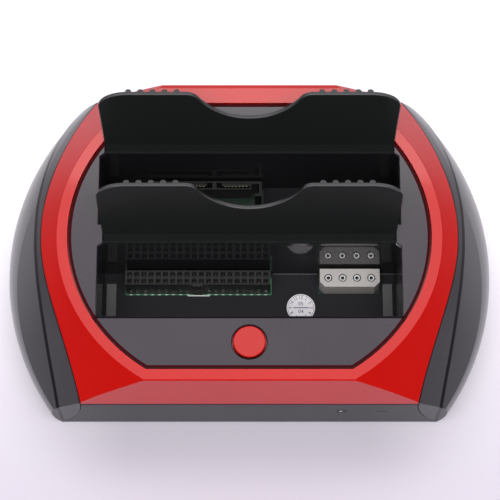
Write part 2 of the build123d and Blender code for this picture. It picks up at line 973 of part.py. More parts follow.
with BuildPart() as button_switch:
    with BuildSketch(Plane.XY.offset(button_board_z)):
        with Locations((0, button_y)):
            Rectangle(switch_size, switch_size)
    extrude(amount=switch_height)
    with BuildSketch(Plane.XY.offset(switch_top_z)):
        with Locations((0, button_y)):
            Circle(switch_plunger_radius + switch_bore_fit)
    extrude(amount=-plunger_set - switch_bore_spare, mode=Mode.SUBTRACT)
keep(button_switch.part, "button_switch")

with BuildPart() as button_board:
    with BuildSketch(Plane.XY.offset(button_board_z)):
        with Locations((0, button_y)):
            Rectangle(button_board_width, button_board_depth)
        with Locations(*button_places):
            Circle(screw_radius / 2 + screw_fit, mode=Mode.SUBTRACT)
    extrude(amount=-board_thickness)
keep(button_board.part, "button_board")

with BuildPart() as button_board_screws:
    with BuildSketch(Plane.XY.offset(button_board_z - board_thickness)):
        with Locations(*button_places):
            Circle(screw_radius / 2)
    extrude(amount=board_thickness + switch_height / 2)
    with BuildSketch(Plane.XY.offset(button_board_z - board_thickness)):
        with Locations(*button_places):
            Circle(screw_radius)
    extrude(amount=-screw_head_height / 2)
keep(button_board_screws.part, "button_board_screws")


# Main board, with room for the case posts
with BuildPart() as main_board:
    with BuildSketch(Plane.XY.offset(board_under_z)):
        with Locations((0, (board_front_y + board_rear_y) / 2)):
            Rectangle(2 * board_half_width, board_rear_y - board_front_y)
        with Locations(*post_places):
            Circle(post_radius + post_board_fit, mode=Mode.SUBTRACT)
        with Locations(*standoff_places):
            Circle(screw_radius + screw_fit, mode=Mode.SUBTRACT)
    extrude(amount=board_thickness)
keep(main_board.part, "main_board")


# Parallel drive socket: a housing with two rows of pin holes and a key
ide_top_z = slot_floor_z + ide_rise
with BuildPart() as ide_socket:
    with BuildSketch(Plane.XY.offset(board_top_z)):
        with Locations((ide_x, ide_y)):
            Rectangle(ide_length, ide_width)
        with Locations((ide_x, ide_y - ide_width / 2 - ide_key_depth / 2)):
            Rectangle(ide_key_width, ide_key_depth)
    extrude(amount=ide_top_z - board_top_z)
    with BuildSketch(Plane.XY.offset(ide_top_z)):
        with Locations((ide_x, ide_y)):
            with GridLocations(pin_pitch, pin_pitch, ide_columns, ide_rows):
                Rectangle(ide_hole, ide_hole)
    extrude(amount=-ide_hole_depth, mode=Mode.SUBTRACT)
    mouths = [wire.edges() for wire in ide_socket.faces().sort_by(Axis.Z)[-1].inner_wires()]
    chamfer([edge for edges in mouths for edge in edges], ide_mouth_edge)
keep(ide_socket.part, "ide_socket")


# Drive power socket: a chamfered shell with four tube contacts in round wells
power_top_z = slot_floor_z + power_rise
power_places = [
    (power_x + (index - (power_count - 1) / 2) * power_pitch, power_y)
    for index in range(power_count)
]
with BuildPart() as power_socket:
    with BuildSketch(Plane.XY.offset(board_top_z)) as power_face:
        with Locations((power_x, power_y)):
            Rectangle(power_length, power_width)
        chamfer(power_face.vertices().group_by(Axis.Y)[0], power_corner)
    extrude(amount=power_top_z - board_top_z)
    with BuildSketch(Plane.XY.offset(power_top_z)):
        with Locations(*power_places):
            Circle(tube_well_radius)
    extrude(amount=-tube_depth, mode=Mode.SUBTRACT)
keep(power_socket.part, "power_socket")

with BuildPart() as power_contacts:
    with BuildSketch(Plane.XY.offset(power_top_z - tube_depth)):
        with Locations(*power_places):
            Circle(tube_outer_radius)
            Circle(tube_bore_radius, mode=Mode.SUBTRACT)
    extrude(amount=tube_depth - tube_drop)
keep(power_contacts.part, "power_contacts")


# Serial drive socket: two tongues in a keyed shell, and a guide post at one end
sata_top_z = slot_floor_z + sata_rise
sata_cavity_floor_z = sata_top_z - sata_cavity_depth
power_row = (sata_power_contacts + 1) * sata_contact_pitch
signal_row = (sata_signal_contacts + 1) * sata_contact_pitch
sata_key_x = sata_left_x + sata_wall + power_row + sata_key_gap
sata_rooms = (
    (sata_left_x + sata_wall, sata_key_x),
    (sata_key_x + sata_key_wall, sata_right_x - sata_wall),
)
sata_rows = (
    (sata_left_x + sata_wall + power_row / 2, power_row, sata_power_contacts),
    (sata_right_x - sata_wall - signal_row / 2, signal_row, sata_signal_contacts),
)
tongue_y = sata_y + sata_width / 2 - sata_wall - sata_tongue / 2
guide_x = sata_right_x + guide_length - guide_thickness / 2
guide_front_y = sata_y - sata_width / 2 - guide_reach
guide_rear_y = sata_y + sata_width / 2
with BuildPart() as sata_socket:
    with BuildSketch(Plane.XY.offset(board_top_z)):
        with Locations(((sata_left_x + sata_right_x) / 2, sata_y)):
            Rectangle(sata_right_x - sata_left_x, sata_width)
        with Locations((sata_right_x + guide_length / 2, guide_rear_y - guide_thickness / 2)):
            Rectangle(guide_length, guide_thickness)
        with Locations((guide_x, (guide_front_y + guide_rear_y) / 2)):
            Rectangle(guide_thickness, guide_rear_y - guide_front_y)
        with Locations(
            (guide_x + (guide_thickness - guide_hook) / 2, guide_front_y + guide_thickness / 2)
        ):
            Rectangle(guide_hook, guide_thickness)
    extrude(amount=sata_top_z - board_top_z)
    with BuildSketch(Plane.XY.offset(sata_top_z)):
        for low_x, high_x in sata_rooms:
            with Locations(((low_x + high_x) / 2, sata_y)):
                Rectangle(high_x - low_x, sata_width - 2 * sata_wall)
    extrude(amount=-sata_cavity_depth, mode=Mode.SUBTRACT)
    with BuildSketch(Plane.XY.offset(sata_cavity_floor_z)):
        for row_x, row_length, _ in sata_rows:
            with Locations((row_x, tongue_y)):
                Rectangle(row_length, sata_tongue)
    extrude(amount=sata_cavity_depth - sata_wall)
keep(sata_socket.part, "sata_socket")

with BuildPart() as sata_contacts:
    with BuildSketch(Plane.XY.offset(sata_cavity_floor_z)):
        for row_x, _, count in sata_rows:
            with Locations((row_x, tongue_y - (sata_tongue + sata_contact_skin) / 2)):
                with GridLocations(sata_contact_pitch, sata_contact_pitch, count, 1):
                    Rectangle(sata_contact_width, sata_contact_skin)
    extrude(amount=sata_cavity_depth - 2 * sata_wall)
keep(sata_contacts.part, "sata_contacts")


# Rear port plate, set in from the rear face, with a cut-out for each port
jack_z = board_top_z + jack_body_height / 2
usb_z = board_top_z + usb_body_height / 2
esata_z = board_top_z + esata_body_height / 2
plate_plane = Plane.XZ.offset(-plate_outer_y)
with BuildPart() as rear_panel:
    add(slab(parting_z, ring_rear_z, plate_inner_y, plate_outer_y))
    add(seam_block(), mode=Mode.INTERSECT)
    add(flare_solid(ring_skin), mode=Mode.INTERSECT)
    with BuildSketch(plate_plane):
        with Locations((jack_x, jack_z)):
            Circle(jack_nose_radius + port_fit)
        with Locations((rocker_x, rocker_z)):
            Rectangle(rocker_width + 2 * port_fit, rocker_frame_height + 2 * port_fit)
        with Locations((usb_x, usb_z)):
            Rectangle(usb_width + 2 * port_fit, usb_body_height + 2 * port_fit)
        with Locations((esata_x, esata_z)):
            Rectangle(esata_width + 2 * port_fit, esata_body_height + 2 * port_fit)
    extrude(amount=port_plate_thickness, mode=Mode.SUBTRACT)
keep(rear_panel.part, "rear_panel")

jack_face_y = plate_outer_y + jack_proud
with BuildPart() as dc_jack:
    with BuildSketch(Plane.XZ.offset(-plate_inner_y)):
        with Locations((jack_x, jack_z)):
            Rectangle(jack_width, jack_body_height)
    extrude(amount=jack_depth)
    with BuildSketch(Plane.XZ.offset(-jack_face_y)):
        with Locations((jack_x, jack_z)):
            Circle(jack_nose_radius)
    extrude(amount=jack_face_y - plate_inner_y)
    with BuildSketch(Plane.XZ.offset(-jack_face_y)):
        with Locations((jack_x, jack_z)):
            Circle(jack_bore_radius)
            Circle(jack_pin_radius, mode=Mode.SUBTRACT)
    extrude(amount=jack_bore_depth, mode=Mode.SUBTRACT)
keep(dc_jack.part, "dc_jack")

usb_face_y = plate_outer_y + port_proud
usb_inner_width = usb_width - 2 * usb_wall
usb_inner_height = usb_body_height - 2 * usb_wall
with BuildPart() as usb_socket:
    with BuildSketch(Plane.XZ.offset(-usb_face_y)):
        with Locations((usb_x, usb_z)):
            Rectangle(usb_width, usb_body_height)
    extrude(amount=usb_depth)
    with BuildSketch(Plane.XZ.offset(-usb_face_y)) as usb_mouth:
        with Locations((usb_x, usb_z)):
            Rectangle(usb_inner_width, usb_inner_height)
        chamfer(usb_mouth.vertices().group_by(Axis.Y)[-1], usb_corner)
        with Locations((usb_x, usb_z)):
            Rectangle(usb_tongue_width, usb_tongue_height, mode=Mode.SUBTRACT)
    extrude(amount=usb_cavity_depth, mode=Mode.SUBTRACT)
keep(usb_socket.part, "usb_socket")

esata_face_y = plate_outer_y + port_proud
with BuildPart() as esata_socket:
    with BuildSketch(Plane.XZ.offset(-esata_face_y)):
        with Locations((esata_x, esata_z)):
            Rectangle(esata_width, esata_body_height)
    extrude(amount=esata_depth)
    with BuildSketch(Plane.XZ.offset(-esata_face_y)):
        with Locations((esata_x, esata_z)):
            Rectangle(esata_width - 2 * esata_wall, esata_body_height - 2 * esata_wall)
            Rectangle(esata_tongue_width, esata_tongue_height, mode=Mode.SUBTRACT)
    extrude(amount=esata_cavity_depth, mode=Mode.SUBTRACT)
keep(esata_socket.part, "esata_socket")


# Power switch: a snap-in frame with a rocker on a cross axle
rim_face_y = plate_outer_y + rocker_rim_thickness
axle_y = rim_face_y - rocker_axle_drop
cavity_width = rocker_cap_width + 2 * rocker_side_fit
cavity_height = rocker_cap_height + 2 * rocker_end_fit
axle_half = rocker_cap_width / 2 + rocker_axle_reach
with BuildPart() as power_switch_frame:
    with BuildSketch(Plane.XZ.offset(-rim_face_y)):
        with Locations((rocker_x, rocker_z)):
            Rectangle(rocker_width + 2 * rocker_rim, rocker_frame_height + 2 * rocker_rim)
    extrude(amount=rocker_rim_thickness)
    with BuildSketch(plate_plane):
        with Locations((rocker_x, rocker_z)):
            Rectangle(rocker_width, rocker_frame_height)
    extrude(amount=rocker_frame_depth)
    with BuildSketch(Plane.XZ.offset(-rim_face_y)):
        with Locations((rocker_x, rocker_z)):
            Rectangle(cavity_width, cavity_height)
    extrude(amount=rocker_cavity_depth, mode=Mode.SUBTRACT)
    with BuildSketch(Plane.YZ.offset(rocker_x)):
        with Locations((axle_y, rocker_z)):
            Circle(rocker_axle_radius + rocker_axle_fit)
    extrude(amount=axle_half + rocker_axle_fit, both=True, mode=Mode.SUBTRACT)
keep(power_switch_frame.part, "power_switch_frame")

with BuildPart() as power_switch_blades:
    with BuildSketch(Plane.XZ.offset(-plate_outer_y + rocker_frame_depth)):
        with Locations(
            (rocker_x, rocker_z - blade_pitch / 2), (rocker_x, rocker_z + blade_pitch / 2)
        ):
            Rectangle(blade_width, blade_thickness)
    extrude(amount=blade_length)
keep(power_switch_blades.part, "power_switch_blades")

half_cap = rocker_cap_height / 2
with BuildPart() as power_rocker:
    with BuildSketch(Plane.YZ.offset(rocker_x - rocker_cap_width / 2)):
        with BuildLine():
            Polyline(
                (rim_face_y - rocker_depth, rocker_z + half_cap * rocker_foot_share),
                (rim_face_y + rocker_swell, rocker_z + half_cap),
                (rim_face_y, rocker_z),
                (rim_face_y + rocker_swell, rocker_z - half_cap),
                (rim_face_y - rocker_depth, rocker_z - half_cap * rocker_foot_share),
                close=True,
            )
        make_face()
    extrude(amount=rocker_cap_width)
    with BuildSketch(Plane.YZ.offset(rocker_x)):
        with Locations((axle_y, rocker_z)):
            Circle(rocker_axle_radius)
    extrude(amount=axle_half, both=True)
rocker_axle = Axis((rocker_x, axle_y, rocker_z), (1, 0, 0))
keep(power_rocker.part.rotate(rocker_axle, -rocker_throw), "power_rocker")


# Chips and other components on the main board
def board_block(width, depth, height, x, y):
    """A flat component on the underside of the main board."""
    with BuildPart() as block:
        with BuildSketch(Plane.XY.offset(board_under_z)):
            with Locations((x, y)):
                Rectangle(width, depth)
        extrude(amount=-height)
    return block.part


keep(board_block(chip_size, chip_size, chip_height, chip_x, chip_y), "controller_chip")
keep(board_block(bridge_size, bridge_size, chip_height, bridge_x, bridge_y), "bridge_chip")
keep(
    board_block(crystal_length, crystal_width, crystal_height, crystal_x, crystal_y),
    "clock_crystal",
)

with BuildPart() as board_capacitors:
    with BuildSketch(Plane.XY.offset(board_top_z)):
        with Locations((capacitor_x, (board_front_y + wells_front_y) / 2)):
            with GridLocations(capacitor_pitch, capacitor_pitch, capacitor_count, 1):
                Circle(capacitor_radius)
    extrude(amount=capacitor_height)
keep(board_capacitors.part, "board_capacitors")

print(len(kept), "pieces")
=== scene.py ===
"""Looks of a twin-slot hard drive docking station, in metres: gloss mouldings, sockets, board,
seal, the pale floor, the light and the camera, all placed by the frame that is loaded first."""

import json
import math

import bmesh
import bpy
from mathutils import Matrix, Vector
from mathutils.geometry import convex_hull_2d


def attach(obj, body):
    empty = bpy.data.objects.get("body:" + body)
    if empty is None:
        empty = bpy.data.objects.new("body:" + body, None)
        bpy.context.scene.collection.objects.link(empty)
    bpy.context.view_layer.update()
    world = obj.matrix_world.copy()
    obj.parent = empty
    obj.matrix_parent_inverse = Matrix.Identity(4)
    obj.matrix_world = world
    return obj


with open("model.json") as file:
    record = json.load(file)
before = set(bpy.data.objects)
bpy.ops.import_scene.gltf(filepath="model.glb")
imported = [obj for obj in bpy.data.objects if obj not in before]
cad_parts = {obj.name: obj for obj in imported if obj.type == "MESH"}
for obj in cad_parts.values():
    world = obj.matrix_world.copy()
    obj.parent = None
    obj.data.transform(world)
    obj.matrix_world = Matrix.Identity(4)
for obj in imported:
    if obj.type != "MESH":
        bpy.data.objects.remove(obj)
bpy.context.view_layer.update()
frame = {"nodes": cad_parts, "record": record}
nodes = frame["nodes"]
MM = 0.001

# Camera
CAMERA_ELEVATION = math.radians(72)
CAMERA_PLACE = Vector((0.2, -200.2, 647.5)) * MM
FOCAL_PIXELS = 1844
FRAME_PIXELS = 500
SENSOR_WIDTH = 36.0
CLIP_START = 0.01

# Light
WORLD_LEVEL = 0.35
WORLD_FRONT_GLOSS = 0.45
WORLD_REAR_GLOSS = 1.7
GLOSS_FROM = -0.3
GLOSS_TO = 0.9
LAMPS = (
    ("overhead_softbox", Vector((0.0, 0.15, 1.0)), (1.6, 1.4), 3.0),
    ("rear_softbox", Vector((0.0, 0.66, 1.05)), (1.2, 0.55), 4.0),
    ("front_softbox", Vector((0.0, -0.35, 0.95)), (0.9, 0.5), 7.2),
)

# Floor, with a painted shadow on it in front of the object
FLOOR_SIZE = 8.0
FLOOR_COLOUR = (0.68, 0.63, 0.72)
FLOOR_SHADE = (0.55, 0.51, 0.59)
SHADE_NEAR = -80 * MM
SHADE_FAR = -58 * MM
SHADE_CORE = 40 * MM
SHADE_EDGE = 66 * MM
FLOOR_NEAR = -90 * MM
FLOOR_FAR = 60 * MM
FLOOR_LIFT = 0.55

# Seal print
FILM = 0.02 * MM
LETTER_STEPS = 3
SEAL_NUMBER_HEIGHT = 1.6 * MM
SEAL_NUMBER_SHARE = 0.73
SEAL_DATE_HEIGHT = 1.9 * MM
SEAL_DATE_SET_SHARE = 0.75
SEAL_RING_SHARE = 0.93
SEAL_RING_STEPS = 64
SEAL_LINE_WIDTH = 0.12 * MM
SEAL_BAR_SHARE = 1.1
SEAL_BAR_WIDTH = 0.3 * MM

# Board edge with a painted highlight, solder, leaves and bead round the front sockets
PAD_PITCH = 2.54 * MM
SOCKET_COLUMNS = 20
SOCKET_ROWS = 2
DISC_SIDES = 14
SOLDER_SIZE = Vector((1.3, 0.34)) * MM
WINDOW_MARGIN = 0.8 * MM
BOARD_FRONT_SET = 0.12 * MM
EDGE_HIGHLIGHT_WIDTH = 0.36 * MM
RIM_MARK = Vector((7.9, 0.4)) * MM
RIM_MARK_X = -18.1 * MM
RIM_MARK_SET = 0.5 * MM
LEAF_SIZE = Vector((0.5, 0.18, 2.2)) * MM
LEAF_DROP = 2.5 * MM
LEAF_SET = 0.7 * MM
CORNER_BEAD = 0.3 * MM
BEAD_HOLLOW_SHARE = 0.3
BEAD_CLEARANCE = (1.2 * MM, 0.6 * MM)
WELL_WALL = 1.5 * MM
WELL_FOOT_SET = 2.7 * MM

# Painted shadow lines in the top panel's joint and along its front slot
WELD = 0.001 * MM
JOINT_SHADOW_WIDTH = 0.75 * MM
SLOT_SHADOW_WIDTH = 0.6 * MM
SLOT_INSET = 1.25 * MM

# Contact strips of the rear sockets: how many, pitch, width, place in from the mouth, height
CONTACT_LENGTH = 5.0 * MM
SQUARE_SOCKET_STRIPS = (2, 2.5 * MM, 1.2 * MM, 3.4 * MM, 1.6 * MM)
FLAT_SOCKET_STRIPS = (7, 1.27 * MM, 0.7 * MM, 3.2 * MM, 0.65 * MM)

# Case screws
CROSS_LENGTH = 2.6 * MM
CROSS_WIDTH = 0.55 * MM
CROSS_TURNS = (math.radians(20), math.radians(110))
SCREW_RADIUS = 2.6 * MM

# Surface texture
DRIFT_SCALE = 25.0
NOISE_MIDDLE = 0.5
HAZE_DETAIL = 4.0
FINE_DETAIL = 3.0
GRAIN_DEPTH = 0.02 * MM
PATCH_SCALE = 35.0
SPECK_LEVEL = 0.66
SPECK_SHARE = 0.5
DUST_COLOUR = (0.55, 0.53, 0.55)
TARNISH = 0.8
METAL_HAZE = 0.1
TRACE_WIDTH = 0.3 * MM
TRACE_BLOCKS = 110.0
TRACE_SHOW = 0.8
TRACE_BUMP = 0.4
TRACE_DEPTH = 0.03 * MM
MASK_GREEN = (0.002, 0.018, 0.008)
TRACE_GREEN = (0.005, 0.040, 0.016)

# How squarely a surface has to face a way: where its finish starts, and where it is full
TOP_FACING = (0.9, 0.98)
FRONT_FACING = (0.85, 0.95)
SLOPE_FACING = (0.3, 0.7)
REAR_FACING = (0.05, 0.5)
# How squarely an upward edge has to face for its painted highlight
HIGHLIGHT_FACING = (0.7, 0.85)
BUTTON_TOP_FACING = (0.4, 0.7)

# Seam beside the red ring, styling crease outside it, and the band between them; the dark crease
# line and the darker band are painted shade
SEAM_PITCH = 10 * MM
SEAM_STEPS = 5
SEAM_MARGIN = 0.5 * MM
SEAM_EDGE = 0.5 * MM
CREASE_FRONT_WIDTH = 8.4 * MM
CREASE_WIDTH = 2.25 * MM
CREASE_REAR_WIDTH = 7.0 * MM
CREASE_REACH = 58 * MM
CREASE_CORE = 0.3 * MM
CREASE_EDGE = 0.85 * MM
BAND_SHADE = 0.5
BAND_DULLING = 0.65
BAND_MIDDLE = 2 * MM
BAND_MARGIN = 6 * MM
BAND_REACH = 38 * MM
BAND_FULL = 14 * MM
SWELL_START = 0.5
SWELL_REACH = 15 * MM
SIDE_FOOT_DULLING = 0.6
SIDE_FRONT_DULLING = 0.8
SIDE_DRIFT = 0.05
SIDE_DUST = 0.02

# Marks on the covers, strip, lens and button; a painted highlight on the covers' upper edges,
# painted shade on the button's side
COVER_FOOT = 54 * MM
COVER_ROOT = 51.5 * MM
# Also the painted shadow line in the side panels' crease
RIM_AND_CREASE_SHADOW_BLACK = (0.004, 0.004, 0.005)
# Also the painted shade in the side panels' band
LENS_RIM_AND_BAND_SHADE_BLACK = (0.012, 0.012, 0.014)
LENS_PLACE = Vector((32.2, 0.0, 18.6)) * MM
LENS_RIM = 1.75 * MM
LENS_DARK = 1.6 * MM
LENS_DARK_EDGE = 1.7 * MM
LAMP_SHIFT = Vector((0.35, 0.0, 0.0)) * MM
LAMP_CORE = 0.35 * MM
LAMP_EDGE = 0.75 * MM
LAMP_COLOUR = (0.9, 0.9, 0.92)
DOT_PLACE = Vector((46.2, 0.0, 18.9)) * MM
DOT_PITCH = 1.4 * MM
DOT_SAG = 0.25 * MM
DOT_RADIUS = 0.5 * MM
MARK_FADE_SHARE = 1.15
STRIP_JOINT = 1.6 * MM
STRIP_JOINT_FADE_SHARE = 1.3
STRIP_JOINT_COLOUR = (0.05, 0.008, 0.014)
BUTTON_SHADE = (0.05, 0.001, 0.001)


# Measures of the CAD nodes
def node_box(name):
    """The low and high corners of a CAD node."""
    corners = [vertex.co for vertex in nodes[name].data.vertices]
    low = Vector([min(co[axis] for co in corners) for axis in range(3)])
    high = Vector([max(co[axis] for co in corners) for axis in range(3)])
    return low, high


def half_width(name, depth):
    """How far a CAD node reaches to the side at a depth."""
    mesh = nodes[name].data
    reach = 0.0
    for edge in mesh.edges:
        first, second = (mesh.vertices[index].co for index in edge.vertices)
        if min(first.y, second.y) < depth <= max(first.y, second.y):
            share = (depth - first.y) / (second.y - first.y)
            reach = max(reach, first.lerp(second, share).x)
    return reach


# Shader helpers
def feed(tree, socket, value):
    """Gives an input a plain value, or links it to an output."""
    if isinstance(value, bpy.types.NodeSocket):
        tree.links.new(value, socket)
    else:
        socket.default_value = value


def math_node(tree, operation, first, second=None, clamp=False):
    """A Math node fed by sockets or plain values."""
    node = tree.nodes.new("ShaderNodeMath")
    node.operation = operation
    node.use_clamp = clamp
    feed(tree, node.inputs[0], first)
    if second is not None:
        feed(tree, node.inputs[1], second)
    return node.outputs[0]


def product(tree, first, *others):
    """Two or more values multiplied."""
    for other in others:
        first = math_node(tree, "MULTIPLY", first, other)
    return first


def inverse(tree, value):
    """One less a value."""
    return math_node(tree, "SUBTRACT", 1.0, value)


def step_node(tree, value, low, high):
    """A smooth step from nought at low to one at high."""
    ramp = tree.nodes.new("ShaderNodeMapRange")
    ramp.interpolation_type = "SMOOTHSTEP"
    for label, given in (("Value", value), ("From Min", low), ("From Max", high)):
        feed(tree, ramp.inputs[label], given)
    return ramp.outputs["Result"]


def coordinates(tree, kind="Object"):
    """The place in the object, or the way that a surface faces."""
    return tree.nodes.new("ShaderNodeTexCoord").outputs[kind]


def axes(tree, kind="Object"):
    """The X, Y and Z parts of the place or of the way that a surface faces."""
    split = tree.nodes.new("ShaderNodeSeparateXYZ")
    tree.links.new(coordinates(tree, kind), split.inputs[0])
    return split.outputs


def noise_node(tree, scale, detail=2.0):
    """A noise texture in the object's own space."""
    node = tree.nodes.new("ShaderNodeTexNoise")
    tree.links.new(coordinates(tree), node.inputs["Vector"])
    feed(tree, node.inputs["Scale"], scale)
    node.inputs["Detail"].default_value = detail
    return node.outputs["Fac"]


def mixed(tree, mask, below, above):
    """One colour laid over another where a mask says; each is a socket or a plain colour."""
    mix = tree.nodes.new("ShaderNodeMix")
    mix.data_type = "RGBA"
    tree.links.new(mask, mix.inputs["Factor"])
    for label, colour in (("A", below), ("B", above)):
        feed(tree, mix.inputs[label], (*colour, 1) if isinstance(colour, tuple) else colour)
    return mix.outputs["Result"]


# Shader groups
def shader_group(name, inputs, outputs):
    """An empty group of named numbers, with its input sockets and its output sockets."""
    tree = bpy.data.node_groups.new(name, "ShaderNodeTree")
    for label, value in inputs.items():
        socket = tree.interface.new_socket(
            name=label, in_out="INPUT", socket_type="NodeSocketFloat"
        )
        socket.default_value = value
    for label in outputs:
        tree.interface.new_socket(name=label, in_out="OUTPUT", socket_type="NodeSocketFloat")
    given = tree.nodes.new("NodeGroupInput").outputs
    made = tree.nodes.new("NodeGroupOutput").inputs
    return tree, given, made


def make_moulding_group():
    """Unevenness of moulded plastic: haze in the roughness, ripple and grain in the height."""
    tree, given, made = shader_group(
        "moulding_surface",
        {
            "Roughness": 0.15, "Haze": 0.05, "Haze Scale": 40.0, "Ripple Scale": 220.0,
            "Grain Scale": 2600.0, "Grain": 0.0,
        },
        ("Roughness", "Height"),
    )
    haze = noise_node(tree, given["Haze Scale"], HAZE_DETAIL)
    ripple = noise_node(tree, given["Ripple Scale"])
    grain = noise_node(tree, given["Grain Scale"])
    spread = product(tree, math_node(tree, "SUBTRACT", haze, NOISE_MIDDLE), given["Haze"])
    rough = math_node(tree, "ADD", spread, given["Roughness"], clamp=True)
    height = math_node(tree, "ADD", ripple, product(tree, grain, given["Grain"]))
    tree.links.new(rough, made["Roughness"])
    tree.links.new(height, made["Height"])
    return tree


def make_dust_group():
    """Fine dust that settles on upward faces: a mask over a plastic's colour."""
    tree, given, made = shader_group(
        "settled_dust", {"Amount": 0.05, "Speck Scale": 900.0}, ("Mask",)
    )
    specks = noise_node(tree, given["Speck Scale"], FINE_DETAIL)
    patches = noise_node(tree, PATCH_SCALE, FINE_DETAIL)
    upward = math_node(tree, "MAXIMUM", axes(tree, "Normal")["Z"], 0.0)
    sharp = math_node(tree, "GREATER_THAN", specks, SPECK_LEVEL)
    film = math_node(tree, "ADD", product(tree, sharp, SPECK_SHARE), patches)
    tree.links.new(product(tree, film, upward, given["Amount"]), made["Mask"])
    return tree


def make_polish_group():
    """Where a moulding keeps its mirror polish: flat tops, front, upright walls, rear slopes."""
    tree, given, made = shader_group(
        "tool_polish", {"Tops": 1.0, "Front": 1.0, "Walls": 1.0, "Rear": 0.0}, ("Mask",)
    )
    facing = axes(tree, "Normal")
    tilt = math_node(tree, "ABSOLUTE", facing["Z"])
    ways = (
        ("Tops", step_node(tree, facing["Z"], *TOP_FACING)),
        ("Front", step_node(tree, product(tree, facing["Y"], -1.0), *FRONT_FACING)),
        ("Walls", inverse(tree, step_node(tree, tilt, *SLOPE_FACING))),
        ("Rear", step_node(tree, facing["Y"], *REAR_FACING)),
    )
    mask = 0.0
    for label, way in ways:
        mask = math_node(tree, "MAXIMUM", mask, product(tree, way, given[label]))
    tree.links.new(mask, made["Mask"])
    return tree


def make_upper_edge_group():
    """Painted highlight on the upward edges of an upright plate, where the light would catch its
    cut face.
    """
    tree, given, made = shader_group("painted_edge_highlight", {"Amount": 1.0}, ("Mask",))
    upward = step_node(tree, axes(tree, "Normal")["Z"], *HIGHLIGHT_FACING)
    above = step_node(tree, axes(tree)["Z"], COVER_FOOT, COVER_FOOT + MM)
    tree.links.new(product(tree, upward, above, given["Amount"]), made["Mask"])
    return tree


def seam_curve(tree, depth):
    """The half width of the body at its seam, read off the red ring from front to rear."""
    low, high = node_box("red_ring_shell")
    inner = [index * SEAM_PITCH for index in range(-SEAM_STEPS, SEAM_STEPS + 1)]
    stations = [low.y, *inner, high.y]
    widths = [
        half_width("red_ring_shell", min(max(spot, low.y + SEAM_MARGIN), high.y - SEAM_MARGIN))
        for spot in stations
    ]
    span = high.y - low.y
    least = min(widths)
    gain = max(widths) - least
    spots = [
        ((station - low.y) / span, (width - least) / gain)
        for station, width in zip(stations, widths)
    ]
    node = tree.nodes.new("ShaderNodeFloatCurve")
    points = node.mapping.curves[0].points
    points[0].location, points[1].location = spots[0], spots[-1]
    for place in spots[1:-1]:
        points.new(*place)
    node.mapping.update()
    past_front = math_node(tree, "SUBTRACT", depth, low.y)
    tree.links.new(math_node(tree, "DIVIDE", past_front, span, clamp=True), node.inputs["Value"])
    return math_node(tree, "ADD", product(tree, node.outputs[0], gain), least)


def make_side_line_group():
    """Masks of the side panels' painted shadow line in the crease, their dark seam line, the band
    between them with its painted shade, and the swell past it.
    """
    tree, given, made = shader_group(
        "side_lines", {"Core": CREASE_CORE, "Edge": CREASE_EDGE}, ("Crease Shadow And Seam", "Band", "Swell")
    )
    place = axes(tree)
    side = math_node(tree, "ABSOLUTE", place["X"])
    past_seam = math_node(tree, "SUBTRACT", side, seam_curve(tree, place["Y"]))
    past_crease = math_node(tree, "SUBTRACT", past_seam, CREASE_WIDTH)
    for way, width in ((-1.0, CREASE_FRONT_WIDTH), (1.0, CREASE_REAR_WIDTH)):
        widening = step_node(tree, product(tree, place["Y"], way), 0.0, CREASE_REACH)
        widening = product(tree, widening, width - CREASE_WIDTH)
        past_crease = math_node(tree, "SUBTRACT", past_crease, widening)
    off_crease = math_node(tree, "ABSOLUTE", past_crease)
    # Painted shadow line in the crease's step, and a dark line along the seam
    crease = inverse(tree, step_node(tree, off_crease, given["Core"], given["Edge"]))
    seam = inverse(tree, step_node(tree, past_seam, SEAM_EDGE / 2, SEAM_EDGE))
    tree.links.new(math_node(tree, "MAXIMUM", crease, seam), made["Crease Shadow And Seam"])
    band = inverse(tree, step_node(tree, past_crease, -CREASE_CORE, CREASE_CORE))
    off_middle = math_node(
        tree, "ABSOLUTE", math_node(tree, "SUBTRACT", place["Y"], BAND_MIDDLE)
    )
    band = product(tree, band, step_node(tree, off_middle, BAND_REACH, BAND_FULL))
    tree.links.new(band, made["Band"])
    tree.links.new(step_node(tree, past_crease, -BAND_MARGIN, SWELL_REACH), made["Swell"])
    return tree


MOULDING = make_moulding_group()
DUST = make_dust_group()
POLISH = make_polish_group()
EDGE_HIGHLIGHT = make_upper_edge_group()
SIDE_LINES = make_side_line_group()


# Materials
def plain_material(name):
    """A new node material with its Principled shader."""
    material = bpy.data.materials.new(name)
    material.use_nodes = True
    return material, material.node_tree, material.node_tree.nodes["Principled BSDF"]


def placed_group(tree, group, **values):
    """A shader group in a material, with its own values."""
    node = tree.nodes.new("ShaderNodeGroup")
    node.node_tree = group
    for name, value in values.items():
        node.inputs[name.replace("_", " ")].default_value = value
    return node.outputs


def drifting(tree, colour, shade):
    """A colour that drifts a little darker and paler from place to place."""
    dark = tuple(c * (1 - shade) for c in colour)
    pale = tuple(min(1.0, c * (1 + shade)) for c in colour)
    return mixed(tree, noise_node(tree, DRIFT_SCALE), dark, pale)


def dusted(tree, colour, amount):
    """A colour under settled dust."""
    return mixed(tree, placed_group(tree, DUST, Amount=amount)["Mask"], colour, DUST_COLOUR)


def bump(tree, shader, height, strength, depth):
    """Raises a shader's surface by a height."""
    node = tree.nodes.new("ShaderNodeBump")
    node.inputs["Strength"].default_value = strength
    node.inputs["Distance"].default_value = depth
    tree.links.new(height, node.inputs["Height"])
    tree.links.new(node.outputs["Normal"], shader.inputs["Normal"])


